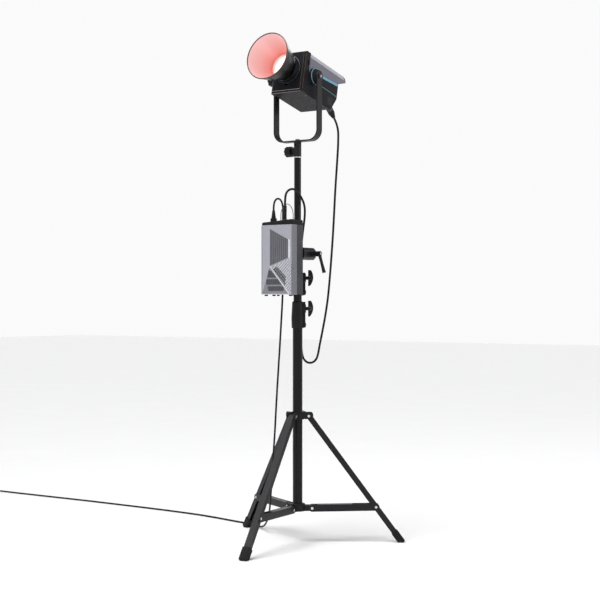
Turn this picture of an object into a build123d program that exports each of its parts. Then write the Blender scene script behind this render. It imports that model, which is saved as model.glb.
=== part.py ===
from build123d import *
from math import cos, pi, radians, sin, sqrt, tan
import os

# Continuous LED light head on a U yoke and a folding stand, with its control unit clamped to the mast.
# Frame: millimetres, +Z up, origin on the floor under the mast axis. The light points along -Y.

os.makedirs("parts", exist_ok=True)

# ---- Driving dimensions: stand ----
LEG_AZIMUTHS = (35, 155, 275)
LOWER_TUBE_D, LOWER_TUBE_BORE = 35.0, 31.4
MID_TUBE_D, MID_TUBE_BORE = 30.0, 26.4
TOP_TUBE_D, TOP_TUBE_BORE = 25.0, 21.4
HUB_Z0, HUB_Z1 = 115.0, 142.0
COLLAR_Z0, COLLAR_Z1 = 444.0, 471.0
LEG_PIVOT_R, LEG_PIVOT_Z = 40.0, 456.5
ARM_PIVOT_R, ARM_PIVOT_Z = 52.0, 125.0
JOIN_R, JOIN_Z = 282.0, 128.0
LEG_LENGTH = 556.0
LEG_WIDTH, LEG_DEPTH = 22.0, 20.0
ARM_HEIGHT, ARM_INNER, ARM_OUTER = 25.0, 23.2, 26.4
PIN_R, PIN_HOLE_R = 2.5, 2.6
LOWER_CLAMP_Z0, LOWER_CLAMP_Z1 = 772.0, 868.0
UPPER_CLAMP_Z0, UPPER_CLAMP_Z1 = 889.0, 973.0
CLAMP_KNOB_AZIMUTH = 30
TOP_TUBE_Z1 = 1385.0
STUD_R, STUD_HOLE_R = 3.0, 3.3

# ---- Driving dimensions: yoke and head ----
TILT_Z = 1670.0
TILT = 12.7
YOKE_HALF, YOKE_BAR, YOKE_DEPTH = 95.0, 5.0, 30.0
YOKE_FLOOR = 1441.5
HEAD_HALF = 67.0
HEAD_BOTTOM, HEAD_TOP = -74.0, 77.0
HEAD_FRONT, RING_SEAT, BEZEL_BACK = -64.0, -51.0, -31.0
REAR_FACE = 166.0
LIGHT_AXIS_UP = 9.0
WALL = 3.0

# ---- Driving dimensions: control unit ----
UNIT_HALF = 65.0
UNIT_FRONT, UNIT_SEAM, UNIT_REAR = -134.0, -102.0, -60.0
UNIT_Z0, UNIT_Z1, CAP_Z1 = 892.0, 1137.0, 1150.0
CONNECTOR_Y = -95.0
MAINS_X, OUTPUT_X = -39.0, 10.0
CLAMP_Z0, CLAMP_Z1 = 1016.0, 1059.0
SCREW_Z = 1037.5

# ---- Driving dimensions: cords ----
HEAD_CABLE_D = 8.0
MAINS_CORD_D = 7.0


def save(builder, name):
    """Label a finished piece and write it as parts/NAME.step."""
    builder.part.label = name
    export_step(builder.part, f"parts/{name}.step")


def radial_plane(azimuth):
    """Plane through the mast axis: local x is the radius, local y is the height."""
    a = radians(azimuth)
    return Plane(origin=(0, 0, 0), x_dir=(cos(a), sin(a), 0), z_dir=(sin(a), -cos(a), 0))


def outward_plane(azimuth, radius, height):
    """Plane whose normal points away from the mast axis, with its origin at that radius and height."""
    a = radians(azimuth)
    origin = (radius * cos(a), radius * sin(a), height)
    return Plane(origin=origin, x_dir=(-sin(a), cos(a), 0), z_dir=(cos(a), sin(a), 0))


def link_plane(azimuth, pivot, end):
    """Plane of a leg or an arm: origin at its pivot, local x along it, given as (radius, height) pairs."""
    a = radians(azimuth)
    run, rise = end[0] - pivot[0], end[1] - pivot[1]
    along = (run * cos(a), run * sin(a), rise)
    origin = (pivot[0] * cos(a), pivot[0] * sin(a), pivot[1])
    return Plane(origin=origin, x_dir=along, z_dir=(sin(a), -cos(a), 0))


def make_tube(outer, bore, z0, z1):
    """Round tube on the mast axis."""
    with BuildPart() as tube:
        with BuildSketch(Plane.XY.offset(z0)):
            Circle(outer / 2)
            Circle(bore / 2, mode=Mode.SUBTRACT)
        extrude(amount=z1 - z0)
    return tube


def make_knob(plane, radius, depth, neck, stud_length, lobes=7):
    """Lobed hand knob: the plane's normal points out, and the stud goes the other way."""
    with BuildPart() as knob:
        with BuildSketch(plane.offset(neck)):
            Circle(radius)
            with PolarLocations(radius + 2.0, lobes):
                Circle(radius * 0.24, mode=Mode.SUBTRACT)
        extrude(amount=depth)
        chamfer(knob.faces().sort_by(Axis(plane.origin, plane.z_dir))[-1].edges(), length=1.2)
        with BuildSketch(plane):
            Circle(radius * 0.5)
        extrude(amount=neck)
        with BuildSketch(plane):
            Circle(STUD_R)
        extrude(amount=-stud_length)
    return knob


# ---- Stand: tubes ----
MID_TUBE_Z0, MID_TUBE_Z1 = 300.0, 905.0
LOWER_TUBE_Z1 = 862.0
save(make_tube(LOWER_TUBE_D, LOWER_TUBE_BORE, HUB_Z0, LOWER_TUBE_Z1), "lower_tube")
save(make_tube(MID_TUBE_D, MID_TUBE_BORE, MID_TUBE_Z0, MID_TUBE_Z1), "mid_tube")
save(make_tube(TOP_TUBE_D, TOP_TUBE_BORE, 440.0, TOP_TUBE_Z1), "top_tube")

# ---- Stand: spreader hub, with one tongue for each arm ----
HUB_R, TONGUE_R = 27.0, 66.0
with BuildPart() as spreader_hub:
    with BuildSketch(Plane.XY.offset(HUB_Z0)):
        Circle(HUB_R)
    extrude(amount=HUB_Z1 - HUB_Z0)
    fillet(spreader_hub.edges().sort_by(Axis.Z)[-1], radius=3)
    for azimuth in LEG_AZIMUTHS:
        with BuildSketch(radial_plane(azimuth)):
            with Locations(((TONGUE_R + 10) / 2, ARM_PIVOT_Z + 0.5)):
                RectangleRounded(TONGUE_R - 10, 21, 5)
        extrude(amount=(ARM_INNER - 0.6) / 2, both=True)
        with BuildSketch(radial_plane(azimuth)):
            with Locations((ARM_PIVOT_R, ARM_PIVOT_Z)):
                Circle(PIN_R)
        extrude(amount=ARM_OUTER, both=True, mode=Mode.SUBTRACT)
    with BuildSketch(Plane.XY.offset(HUB_Z0)):
        Circle(LOWER_TUBE_D / 2)
    extrude(amount=HUB_Z1 - HUB_Z0, mode=Mode.SUBTRACT)
save(spreader_hub, "spreader_hub")

# ---- Stand: leg collar, a sliding ring with a pair of ears for each leg ----
COLLAR_R, EAR_R, EAR_GAP, EAR_T = 23.0, 56.0, 11.4, 4.0
COLLAR_KNOB_AZIMUTH, COLLAR_KNOB_Z = 95, 457.5
with BuildPart() as leg_collar:
    with BuildSketch(Plane.XY.offset(COLLAR_Z0)):
        Circle(COLLAR_R)
    extrude(amount=COLLAR_Z1 - COLLAR_Z0)
    with BuildSketch(outward_plane(COLLAR_KNOB_AZIMUTH, 12, COLLAR_KNOB_Z)):
        Circle(9)
    extrude(amount=18)
    for azimuth in LEG_AZIMUTHS:
        for side in (EAR_GAP, -EAR_GAP - EAR_T):
            with BuildSketch(radial_plane(azimuth).offset(side)):
                with Locations(((EAR_R + 12) / 2, LEG_PIVOT_Z + 1)):
                    RectangleRounded(EAR_R - 12, 24, 9)
                with Locations((LEG_PIVOT_R, LEG_PIVOT_Z)):
                    Circle(PIN_R, mode=Mode.SUBTRACT)
            extrude(amount=EAR_T)
    with BuildSketch(Plane.XY.offset(COLLAR_Z0 - 1)):
        Circle(LOWER_TUBE_D / 2 + 0.3)
    extrude(amount=COLLAR_Z1 - COLLAR_Z0 + 2, mode=Mode.SUBTRACT)
    with BuildSketch(outward_plane(COLLAR_KNOB_AZIMUTH, 12, COLLAR_KNOB_Z)):
        Circle(STUD_HOLE_R)
    extrude(amount=20, mode=Mode.SUBTRACT)
save(leg_collar, "leg_collar")
collar_knob_plane = outward_plane(COLLAR_KNOB_AZIMUTH, 31, COLLAR_KNOB_Z)
save(make_knob(collar_knob_plane, 14, 14, 2, 13), "leg_collar_knob")


def make_pins(radius, height, half_length, head=2.0):
    """Three riveted pins, one across each leg plane, with a head at both ends."""
    with BuildPart() as pins:
        for azimuth in LEG_AZIMUTHS:
            with BuildSketch(radial_plane(azimuth)):
                with Locations((radius, height)):
                    Circle(PIN_R)
            extrude(amount=half_length, both=True)
            for end in (half_length, -half_length - head):
                with BuildSketch(radial_plane(azimuth).offset(end)):
                    with Locations((radius, height)):
                        Circle(PIN_R * 1.9)
                extrude(amount=head)
    return pins


save(make_pins(LEG_PIVOT_R, LEG_PIVOT_Z, EAR_GAP + EAR_T), "leg_pins")
save(make_pins(ARM_PIVOT_R, ARM_PIVOT_Z, ARM_OUTER / 2 + 0.15), "hub_pins")

# ---- Stand: legs, arms and rubber feet ----
LEG_WALL, FOOT_WALL = 1.6, 2.5
FOOT_START, FOOT_END = LEG_LENGTH - 36, LEG_LENGTH + 12


def make_leg(azimuth):
    """Channel leg with its closed side outward, rounded about its pin."""
    plane = link_plane(azimuth, (LEG_PIVOT_R, LEG_PIVOT_Z), (JOIN_R, JOIN_Z))
    with BuildPart() as leg:
        with BuildSketch(plane):
            with Locations((LEG_LENGTH / 2, 0)):
                Rectangle(LEG_LENGTH, LEG_DEPTH)
            Circle(LEG_DEPTH / 2)
        extrude(amount=LEG_WIDTH / 2, both=True)
        with BuildSketch(plane):
            with Locations((LEG_LENGTH / 2, -LEG_WALL)):
                Rectangle(LEG_LENGTH + 2 * LEG_DEPTH, LEG_DEPTH)
        extrude(amount=LEG_WIDTH / 2 - LEG_WALL, both=True, mode=Mode.SUBTRACT)
        with BuildSketch(plane):
            Circle(PIN_HOLE_R)
        extrude(amount=LEG_WIDTH, both=True, mode=Mode.SUBTRACT)
    return leg


def make_foot(azimuth):
    """Rubber cap over the end of a leg, cut flat where it stands on the floor."""
    plane = link_plane(azimuth, (LEG_PIVOT_R, LEG_PIVOT_Z), (JOIN_R, JOIN_Z))
    with BuildPart() as foot:
        with BuildSketch(plane):
            with Locations(((FOOT_START + FOOT_END) / 2, 0)):
                RectangleRounded(FOOT_END - FOOT_START, LEG_DEPTH + 2 * FOOT_WALL, 3)
        extrude(amount=LEG_WIDTH / 2 + FOOT_WALL, both=True)
        with BuildSketch(plane):
            with Locations(((FOOT_START + LEG_LENGTH) / 2 - 1, 0)):
                Rectangle(LEG_LENGTH - FOOT_START + 2, LEG_DEPTH)
        extrude(amount=LEG_WIDTH / 2, both=True, mode=Mode.SUBTRACT)
        split(bisect_by=Plane.XY, keep=Keep.TOP)
    return foot


ARM_LENGTH = sqrt((JOIN_R - ARM_PIVOT_R) ** 2 + (JOIN_Z - ARM_PIVOT_Z) ** 2)
INNER_CUT, FORK_CUT = 20.0, 85.0


def make_arm(azimuth):
    """Channel arm, open below: its web is cut away at the hub and where its fork spans the leg."""
    plane = link_plane(azimuth, (ARM_PIVOT_R, ARM_PIVOT_Z), (JOIN_R, JOIN_Z))
    web = (ARM_OUTER - ARM_INNER) / 2
    ends = ((-ARM_HEIGHT, INNER_CUT), (ARM_LENGTH - FORK_CUT, ARM_LENGTH + ARM_HEIGHT))
    with BuildPart() as arm:
        with BuildSketch(plane):
            with Locations((ARM_LENGTH / 2, 0)):
                SlotCenterToCenter(ARM_LENGTH, ARM_HEIGHT)
        extrude(amount=ARM_OUTER / 2, both=True)
        with BuildSketch(plane):
            with Locations((ARM_LENGTH / 2, -web)):
                Rectangle(ARM_LENGTH + 2 * ARM_HEIGHT, ARM_HEIGHT)
            for start, stop in ends:
                with Locations(((start + stop) / 2, 0)):
                    Rectangle(stop - start, ARM_HEIGHT + 2)
        extrude(amount=ARM_INNER / 2, both=True, mode=Mode.SUBTRACT)
        with BuildSketch(plane):
            Circle(PIN_HOLE_R)
        extrude(amount=ARM_OUTER, both=True, mode=Mode.SUBTRACT)
    return arm


for number, azimuth in enumerate(LEG_AZIMUTHS, start=1):
    save(make_leg(azimuth), f"leg_{number}")
    save(make_foot(azimuth), f"foot_{number}")
    save(make_arm(azimuth), f"spreader_arm_{number}")

# ---- Stand: tube clamps with their T-knobs ----
CLAMP_EAR_R, CLAMP_STUD_DROP = 30.0, 26.0
WING_HALF, WING_R0, WING_R1, WING_T = 28.5, 38.0, 56.0, 9.0


def make_tube_clamp(z0, z1, gripped_d, gripped_z1, sliding_d, stud_z):
    """Tapered collar fixed on the tube below it, with a clear bore for the tube that slides through."""
    with BuildPart() as clamp:
        with BuildSketch(Plane.XZ):
            with BuildLine():
                Polyline((0, z0), (21.5, z0), (22.6, z0 + 36), (20.2, z1 - 14), (19.6, z1 - 3), (17.6, z1), (0, z1),
                         close=True)
            make_face()
        revolve(axis=Axis.Z)
        with BuildSketch(outward_plane(CLAMP_KNOB_AZIMUTH, 10, stud_z)):
            RectangleRounded(17, 30, 4)
        extrude(amount=CLAMP_EAR_R - 10)
        with BuildSketch(outward_plane(CLAMP_KNOB_AZIMUTH, 10, (z0 + z1) / 2)):
            RectangleRounded(15, z1 - z0 - 3, 3)
        extrude(amount=CLAMP_EAR_R - 12)
        with BuildSketch(outward_plane(CLAMP_KNOB_AZIMUTH, 10, z0 + 12)):
            RectangleRounded(15, 16, 4)
        extrude(amount=CLAMP_EAR_R - 10.5)
        with BuildSketch(Plane.XY.offset(z0)):
            Circle(gripped_d / 2)
        extrude(amount=gripped_z1 - z0, mode=Mode.SUBTRACT)
        with BuildSketch(Plane.XY.offset(gripped_z1)):
            Circle(sliding_d / 2 + 0.3)
        extrude(amount=z1 - gripped_z1, mode=Mode.SUBTRACT)
        with BuildSketch(outward_plane(CLAMP_KNOB_AZIMUTH, gripped_d / 2 + 0.5, stud_z)):
            Circle(STUD_HOLE_R)
        extrude(amount=CLAMP_EAR_R, mode=Mode.SUBTRACT)
    return clamp


def make_t_knob(stud_z, stud_tip_r):
    """Wing knob: a stem out of the clamp's ear and a D-shaped wing standing across its end."""
    plane = radial_plane(CLAMP_KNOB_AZIMUTH)
    with BuildPart() as knob:
        with BuildSketch(outward_plane(CLAMP_KNOB_AZIMUTH, CLAMP_EAR_R + 0.4, stud_z)):
            Circle(6.5)
        extrude(amount=WING_R0 + 4 - CLAMP_EAR_R)
        with BuildSketch(plane):
            with BuildLine():
                Polyline((WING_R0 + 10, stud_z + WING_HALF), (WING_R0, stud_z + WING_HALF),
                         (WING_R0, stud_z - WING_HALF), (WING_R0 + 6, stud_z - WING_HALF))
                ThreePointArc((WING_R0 + 6, stud_z - WING_HALF), (WING_R1, stud_z - 2),
                              (WING_R0 + 10, stud_z + WING_HALF))
            make_face()
        extrude(amount=WING_T / 2, both=True)
        with BuildSketch(outward_plane(CLAMP_KNOB_AZIMUTH, CLAMP_EAR_R + 1, stud_z)):
            Circle(STUD_R)
        extrude(amount=-(CLAMP_EAR_R + 1 - stud_tip_r))
    return knob


LOWER_STUD_Z = LOWER_CLAMP_Z1 - CLAMP_STUD_DROP
UPPER_STUD_Z = UPPER_CLAMP_Z1 - CLAMP_STUD_DROP + 5
save(make_tube_clamp(LOWER_CLAMP_Z0, LOWER_CLAMP_Z1, LOWER_TUBE_D, LOWER_TUBE_Z1, MID_TUBE_D, LOWER_STUD_Z),
     "lower_clamp")
save(make_tube_clamp(UPPER_CLAMP_Z0, UPPER_CLAMP_Z1, MID_TUBE_D, MID_TUBE_Z1, TOP_TUBE_D, UPPER_STUD_Z),
     "upper_clamp")
save(make_t_knob(LOWER_STUD_Z, LOWER_TUBE_D / 2 + 1), "lower_clamp_knob")
save(make_t_knob(UPPER_STUD_Z, MID_TUBE_D / 2 + 1), "upper_clamp_knob")

# ---- Spigot on the top tube, and the yoke's receiver socket over it ----
SPIGOT_R, SPIGOT_Z1 = 8.0, 1422.0
RECEIVER_R, RECEIVER_Z0, RECEIVER_Z1 = 13.5, 1388.5, YOKE_FLOOR
RECEIVER_KNOB_Z, UMBRELLA_Z, UMBRELLA_R = 1408.0, 1430.5, 4.5
CROSSBAR_BOLT_R = 4.0
with BuildPart() as spigot:
    with BuildSketch(Plane.XY.offset(TOP_TUBE_Z1 - 40)):
        Circle(TOP_TUBE_BORE / 2)
    extrude(amount=40)
    with BuildSketch(Plane.XY.offset(TOP_TUBE_Z1)):
        Circle(TOP_TUBE_D / 2)
    extrude(amount=3)
    with BuildSketch(Plane.XY.offset(TOP_TUBE_Z1)):
        Circle(SPIGOT_R)
    extrude(amount=SPIGOT_Z1 - TOP_TUBE_Z1)
    chamfer(spigot.edges().sort_by(Axis.Z)[-1], length=1.5)
save(spigot, "spigot")

with BuildPart() as yoke_receiver:
    with BuildSketch(Plane.XY.offset(RECEIVER_Z0)):
        Circle(RECEIVER_R)
    extrude(amount=RECEIVER_Z1 - RECEIVER_Z0)
    with BuildSketch(Plane.YZ.offset(-10)):
        with Locations((0, RECEIVER_KNOB_Z)):
            Circle(8)
    extrude(amount=-8)
    with BuildSketch(Plane.XY.offset(RECEIVER_Z0)):
        Circle(SPIGOT_R + 0.2)
    extrude(amount=SPIGOT_Z1 + 1 - RECEIVER_Z0, mode=Mode.SUBTRACT)
    with BuildSketch(Plane.XZ):
        with Locations((0, UMBRELLA_Z)):
            Circle(UMBRELLA_R)
    extrude(amount=2 * RECEIVER_R, both=True, mode=Mode.SUBTRACT)
    with BuildSketch(Plane.YZ):
        with Locations((0, RECEIVER_KNOB_Z)):
            Circle(STUD_HOLE_R)
    extrude(amount=-20, mode=Mode.SUBTRACT)
    with BuildSketch(Plane.XY.offset(RECEIVER_Z1)):
        Circle(CROSSBAR_BOLT_R)
    extrude(amount=-5, mode=Mode.SUBTRACT)
save(yoke_receiver, "yoke_receiver")
receiver_knob_plane = Plane(origin=(-19, 0, RECEIVER_KNOB_Z), x_dir=(0, 1, 0), z_dir=(-1, 0, 0))
save(make_knob(receiver_knob_plane, 19, 24, 5, 10.5, lobes=9), "receiver_knob")

# ---- Yoke: one bent flat bar ----
PIVOT_BOLT_R, PIVOT_EYE_R, BOLT_HEAD_R = 4.0, 20.0, 8.0
with BuildPart() as yoke_bracket:
    half, floor = YOKE_HALF - YOKE_BAR / 2, YOKE_FLOOR + YOKE_BAR / 2
    with BuildSketch(Plane.XZ):
        with BuildLine():
            FilletPolyline((-half, TILT_Z), (-half, floor), (half, floor), (half, TILT_Z), radius=37.5)
        trace(line_width=YOKE_BAR)
    extrude(amount=YOKE_DEPTH / 2, both=True)
    with BuildSketch(Plane.YZ.offset(YOKE_HALF - YOKE_BAR), Plane.YZ.offset(-YOKE_HALF)):
        with Locations((0, TILT_Z)):
            Circle(PIVOT_EYE_R)
    extrude(amount=YOKE_BAR)
    with BuildSketch(Plane.YZ):
        with Locations((0, TILT_Z)):
            Circle(PIVOT_BOLT_R + 0.3)
    extrude(amount=YOKE_HALF + 1, both=True, mode=Mode.SUBTRACT)
    with BuildSketch(Plane.XY.offset(YOKE_FLOOR)):
        Circle(CROSSBAR_BOLT_R)
    extrude(amount=YOKE_BAR, mode=Mode.SUBTRACT)
save(yoke_bracket, "yoke_bracket")

with BuildPart() as yoke_bolts:
    with BuildSketch(Plane.YZ.offset(YOKE_HALF)):
        with Locations((0, TILT_Z)):
            Circle(BOLT_HEAD_R)
    extrude(amount=6)
    chamfer(yoke_bolts.faces().sort_by(Axis.X)[-1].edges(), length=1.5)
    with BuildSketch(Plane.YZ.offset(YOKE_HALF)):
        with Locations((0, TILT_Z)):
            Circle(PIVOT_BOLT_R)
    extrude(amount=-24)
    with BuildSketch(Plane.XY.offset(YOKE_FLOOR + YOKE_BAR)):
        Circle(BOLT_HEAD_R)
    extrude(amount=5)
    with BuildSketch(Plane.XY.offset(YOKE_FLOOR + YOKE_BAR)):
        Circle(CROSSBAR_BOLT_R)
    extrude(amount=-YOKE_BAR - 5)
save(yoke_bolts, "yoke_bolts")

TILT_KNOB_GAP = 0.4
with BuildPart() as tilt_knob:
    knob_plane = Plane(origin=(-YOKE_HALF - TILT_KNOB_GAP, 0, TILT_Z), x_dir=(0, 1, 0), z_dir=(-1, 0, 0))
    with BuildSketch(knob_plane):
        Circle(10)
    extrude(amount=7)
    with BuildSketch(knob_plane.offset(6)):
        Circle(19)
        with PolarLocations(21.5, 7):
            Circle(5.5, mode=Mode.SUBTRACT)
    extrude(amount=19)
    chamfer(tilt_knob.faces().sort_by(Axis.X)[0].edges(), length=1.5)
    with BuildSketch(knob_plane):
        Circle(PIVOT_BOLT_R)
    extrude(amount=-22)
save(tilt_knob, "tilt_knob")

# ---- Head: planes of the tilted head, in which x is right, back is behind the tilt axis, up is above it ----
HEAD = Plane(origin=(0, 0, TILT_Z), x_dir=(1, 0, 0), z_dir=(0, sin(radians(TILT)), cos(radians(TILT))))
BACKWARD = HEAD.y_dir
FORWARD = HEAD.y_dir * -1
UPWARD = HEAD.z_dir


def head_point(x, back, up):
    """A point of the head in the part's frame."""
    return HEAD.from_local_coords(Vector(x, back, up))


def head_side(x=0.0):
    """Side plane of the head: local x is back, local y is up, and the normal is +X."""
    return Plane(origin=head_point(x, 0, 0), x_dir=BACKWARD, z_dir=(1, 0, 0))


def head_front(back, up=0.0, x=0.0):
    """Plane across the head at that depth: local x is right, local y is up, the normal is forward."""
    return Plane(origin=head_point(x, back, up), x_dir=(1, 0, 0), z_dir=FORWARD)


def head_rear(back, up=0.0, x=0.0):
    """Plane across the head at that depth, with its normal to the back; local x is left."""
    return Plane(origin=head_point(x, back, up), x_dir=(-1, 0, 0), z_dir=BACKWARD)


LIGHT_AXIS = Axis(head_point(0, 0, LIGHT_AXIS_UP), FORWARD)

# ---- Head: lower shell, open above and in front, with a slanted face for the cable plug ----
SLANT_TOP, SLANT_BACK = -24.0, 139.0
SEAM_FRONT_UP, SEAM_REAR_UP = 20.0, 34.0
PLUG_X, PLUG_R, PLUG_LENGTH, PLUG_UP = 49.0, 12.0, 50.0, -59.5
SLANT_LOW_UP = HEAD_BOTTOM + 3
slant_run, slant_rise = REAR_FACE - SLANT_BACK, SLANT_TOP - SLANT_LOW_UP
slant_length = sqrt(slant_run ** 2 + slant_rise ** 2)
plug_back = SLANT_BACK + slant_run * (PLUG_UP - SLANT_LOW_UP) / slant_rise
plug_normal = (BACKWARD * (slant_rise / slant_length)) - (UPWARD * (slant_run / slant_length))
PLUG_PLANE = Plane(origin=head_point(PLUG_X, plug_back, PLUG_UP), x_dir=(1, 0, 0), z_dir=plug_normal)

lower_outline = [
    (BEZEL_BACK, HEAD_BOTTOM), (SLANT_BACK - 3, HEAD_BOTTOM), (SLANT_BACK, SLANT_LOW_UP),
    (REAR_FACE, SLANT_TOP), (REAR_FACE, SEAM_REAR_UP), (BEZEL_BACK, SEAM_FRONT_UP),
]
lower_hollow = [
    (BEZEL_BACK - 1, HEAD_BOTTOM + WALL), (SLANT_BACK - 5, HEAD_BOTTOM + WALL),
    (REAR_FACE - WALL, SLANT_TOP + 1), (REAR_FACE - WALL, SEAM_REAR_UP + 5), (BEZEL_BACK - 1, SEAM_REAR_UP + 5),
]
with BuildPart() as lower_shell:
    with BuildSketch(head_side()):
        with BuildLine():
            Polyline(*lower_outline, close=True)
        make_face()
    extrude(amount=HEAD_HALF, both=True)
    chamfer(lower_shell.faces().sort_by(Axis((0, 0, 0), UPWARD))[0].edges().filter_by(Axis((0, 0, 0), FORWARD)),
            length=4)
    with BuildSketch(head_side()):
        with BuildLine():
            Polyline(*lower_hollow, close=True)
        make_face()
    extrude(amount=HEAD_HALF - WALL, both=True, mode=Mode.SUBTRACT)
    with BuildSketch(head_rear(REAR_FACE - WALL - 1, 5)):
        Rectangle(98, 44)
    extrude(amount=WALL + 2, mode=Mode.SUBTRACT)
save(lower_shell, "lower_shell")

# ---- Head: silver top cover, with a hood over the rear panel ----
COVER_BACK, COVER_WALL, COVER_INSET = 212.0, 2.5, 9.0
FACET_IN, FACET_DOWN = 5.0, 16.0
cover_outline = [
    (BEZEL_BACK, SEAM_FRONT_UP), (REAR_FACE, SEAM_REAR_UP), (COVER_BACK, 55), (COVER_BACK, 70),
    (COVER_BACK - 10, HEAD_TOP), (BEZEL_BACK, HEAD_TOP),
]
cover_hollow = [
    (BEZEL_BACK - 1, SEAM_FRONT_UP - 3), (REAR_FACE - 2, SEAM_FRONT_UP - 3), (REAR_FACE - 2, SEAM_REAR_UP + 8),
    (COVER_BACK - 5, 57), (COVER_BACK - 5, 67), (COVER_BACK - 12, HEAD_TOP - COVER_WALL),
    (BEZEL_BACK - 1, HEAD_TOP - COVER_WALL),
]
with BuildPart() as top_cover:
    with BuildSketch(head_side()):
        with BuildLine():
            Polyline(*cover_outline, close=True)
        make_face()
    extrude(amount=HEAD_HALF, both=True)
    top_face = top_cover.faces().sort_by(Axis((0, 0, 0), UPWARD))[-1]
    chamfer(top_face.edges().filter_by(Axis((0, 0, 0), FORWARD)), length=FACET_IN, length2=FACET_DOWN,
            reference=top_face)
    with BuildSketch(head_side()):
        with BuildLine():
            Polyline(*cover_hollow, close=True)
        make_face()
    extrude(amount=HEAD_HALF - COVER_INSET, both=True, mode=Mode.SUBTRACT)
save(top_cover, "top_cover")

# ---- Head: front bezel, with a round recess for the accessory mount ----
BEZEL_CHAMFER, RECESS_R, PORT_R = 9.0, 54.0, 40.0
RECESS_DEPTH = RING_SEAT + 8 - HEAD_FRONT
with BuildPart() as front_bezel:
    with BuildSketch(head_front(BEZEL_BACK, (HEAD_TOP + HEAD_BOTTOM) / 2)):
        Rectangle(2 * HEAD_HALF, HEAD_TOP - HEAD_BOTTOM)
    extrude(amount=BEZEL_BACK - HEAD_FRONT)
    chamfer(front_bezel.faces().sort_by(Axis((0, 0, 0), FORWARD))[-1].edges(), length=BEZEL_CHAMFER)
    with BuildSketch(head_front(HEAD_FRONT, LIGHT_AXIS_UP)):
        Circle(RECESS_R)
    extrude(amount=-RECESS_DEPTH, mode=Mode.SUBTRACT)
    with BuildSketch(head_front(HEAD_FRONT, LIGHT_AXIS_UP)):
        Circle(PORT_R)
    extrude(amount=HEAD_FRONT - BEZEL_BACK - 1, mode=Mode.SUBTRACT)
    with BuildSketch(head_front(HEAD_FRONT + 8)):
        with BuildLine():
            Polyline((-17, HEAD_BOTTOM + 36), (17, HEAD_BOTTOM + 36), (0, HEAD_BOTTOM + 22), close=True)
        make_face()
    extrude(amount=9, mode=Mode.SUBTRACT)
save(front_bezel, "front_bezel")

# ---- Head: bosses that fill the gap to the yoke's arms ----
BOSS_R, BOSS_NECK_R, BOSS_STEP, BOSS_END = 29.0, 23.0, 79.0, YOKE_HALF - YOKE_BAR - 0.5
with BuildPart() as side_bosses:
    for direction in (1, -1):
        face = Plane(origin=(direction * HEAD_HALF, 0, TILT_Z), x_dir=BACKWARD, z_dir=(direction, 0, 0))
        with BuildSketch(face):
            Circle(BOSS_R)
        extrude(amount=BOSS_STEP - HEAD_HALF)
        with BuildSketch(face):
            Circle(BOSS_NECK_R)
        extrude(amount=BOSS_END - HEAD_HALF)
        with BuildSketch(face):
            Circle(PIVOT_BOLT_R + 0.5)
        extrude(amount=BOSS_END - HEAD_HALF, mode=Mode.SUBTRACT)
save(side_bosses, "side_bosses")

# ---- Head: bayonet mount ring and its release slider ----
RING_BORE_R, RING_NECK_R, RING_FLANGE_R, RING_FRONT = 47.2, 50.0, 53.0, -93.0
RELEASE_BACK, RELEASE_UP = -36.5, 40.0
with BuildPart() as bayonet_ring:
    with BuildSketch(head_side()):
        with BuildLine():
            Polyline((RING_SEAT + 8, LIGHT_AXIS_UP + PORT_R), (RING_SEAT + 8, LIGHT_AXIS_UP + RING_FLANGE_R),
                     (RING_SEAT - 8, LIGHT_AXIS_UP + RING_FLANGE_R), (RING_SEAT - 16, LIGHT_AXIS_UP + 51.5),
                     (RING_SEAT - 20, LIGHT_AXIS_UP + RING_NECK_R), (RING_FRONT + 5, LIGHT_AXIS_UP + RING_NECK_R),
                     (RING_FRONT + 3, LIGHT_AXIS_UP + 52), (RING_FRONT, LIGHT_AXIS_UP + 52),
                     (RING_FRONT, LIGHT_AXIS_UP + RING_BORE_R), (RING_SEAT, LIGHT_AXIS_UP + RING_BORE_R),
                     (RING_SEAT, LIGHT_AXIS_UP + PORT_R), close=True)
        make_face()
    revolve(axis=LIGHT_AXIS)
save(bayonet_ring, "bayonet_ring")
with BuildPart() as bayonet_release:
    with BuildSketch(head_side(HEAD_HALF + 0.3)):
        with Locations((RELEASE_BACK, RELEASE_UP)):
            RectangleRounded(7, 16, 2)
    extrude(amount=2.5)
save(bayonet_release, "bayonet_release")

# ---- Reflector: a spun bowl with a straight neck that plugs into the mount ring ----
NECK_R, NECK_BACK, BOWL_BACK, RIM_BACK, RIM_R, SHEET_T = 46.4, -84.0, -97.0, -198.0, 84.0, 1.4
with BuildPart() as reflector:
    with BuildSketch(head_side()):
        with BuildLine():
            Line((NECK_BACK, LIGHT_AXIS_UP + NECK_R), (BOWL_BACK, LIGHT_AXIS_UP + NECK_R))
            ThreePointArc((BOWL_BACK, LIGHT_AXIS_UP + NECK_R), (-146, LIGHT_AXIS_UP + 70),
                          (RIM_BACK, LIGHT_AXIS_UP + RIM_R))
            Line((RIM_BACK, LIGHT_AXIS_UP + RIM_R), (RIM_BACK, LIGHT_AXIS_UP + RIM_R - SHEET_T))
            ThreePointArc((RIM_BACK, LIGHT_AXIS_UP + RIM_R - SHEET_T), (-145, LIGHT_AXIS_UP + 70 - SHEET_T),
                          (BOWL_BACK + 1, LIGHT_AXIS_UP + NECK_R - SHEET_T))
            Polyline((BOWL_BACK + 1, LIGHT_AXIS_UP + NECK_R - SHEET_T),
                     (NECK_BACK, LIGHT_AXIS_UP + NECK_R - SHEET_T), (NECK_BACK, LIGHT_AXIS_UP + NECK_R))
        make_face()
    revolve(axis=LIGHT_AXIS)
    with BuildSketch(head_side()):
        with Locations((RIM_BACK + 1.6, LIGHT_AXIS_UP + RIM_R)):
            Circle(1.8)
    revolve(axis=LIGHT_AXIS)
save(reflector, "reflector")

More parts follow.
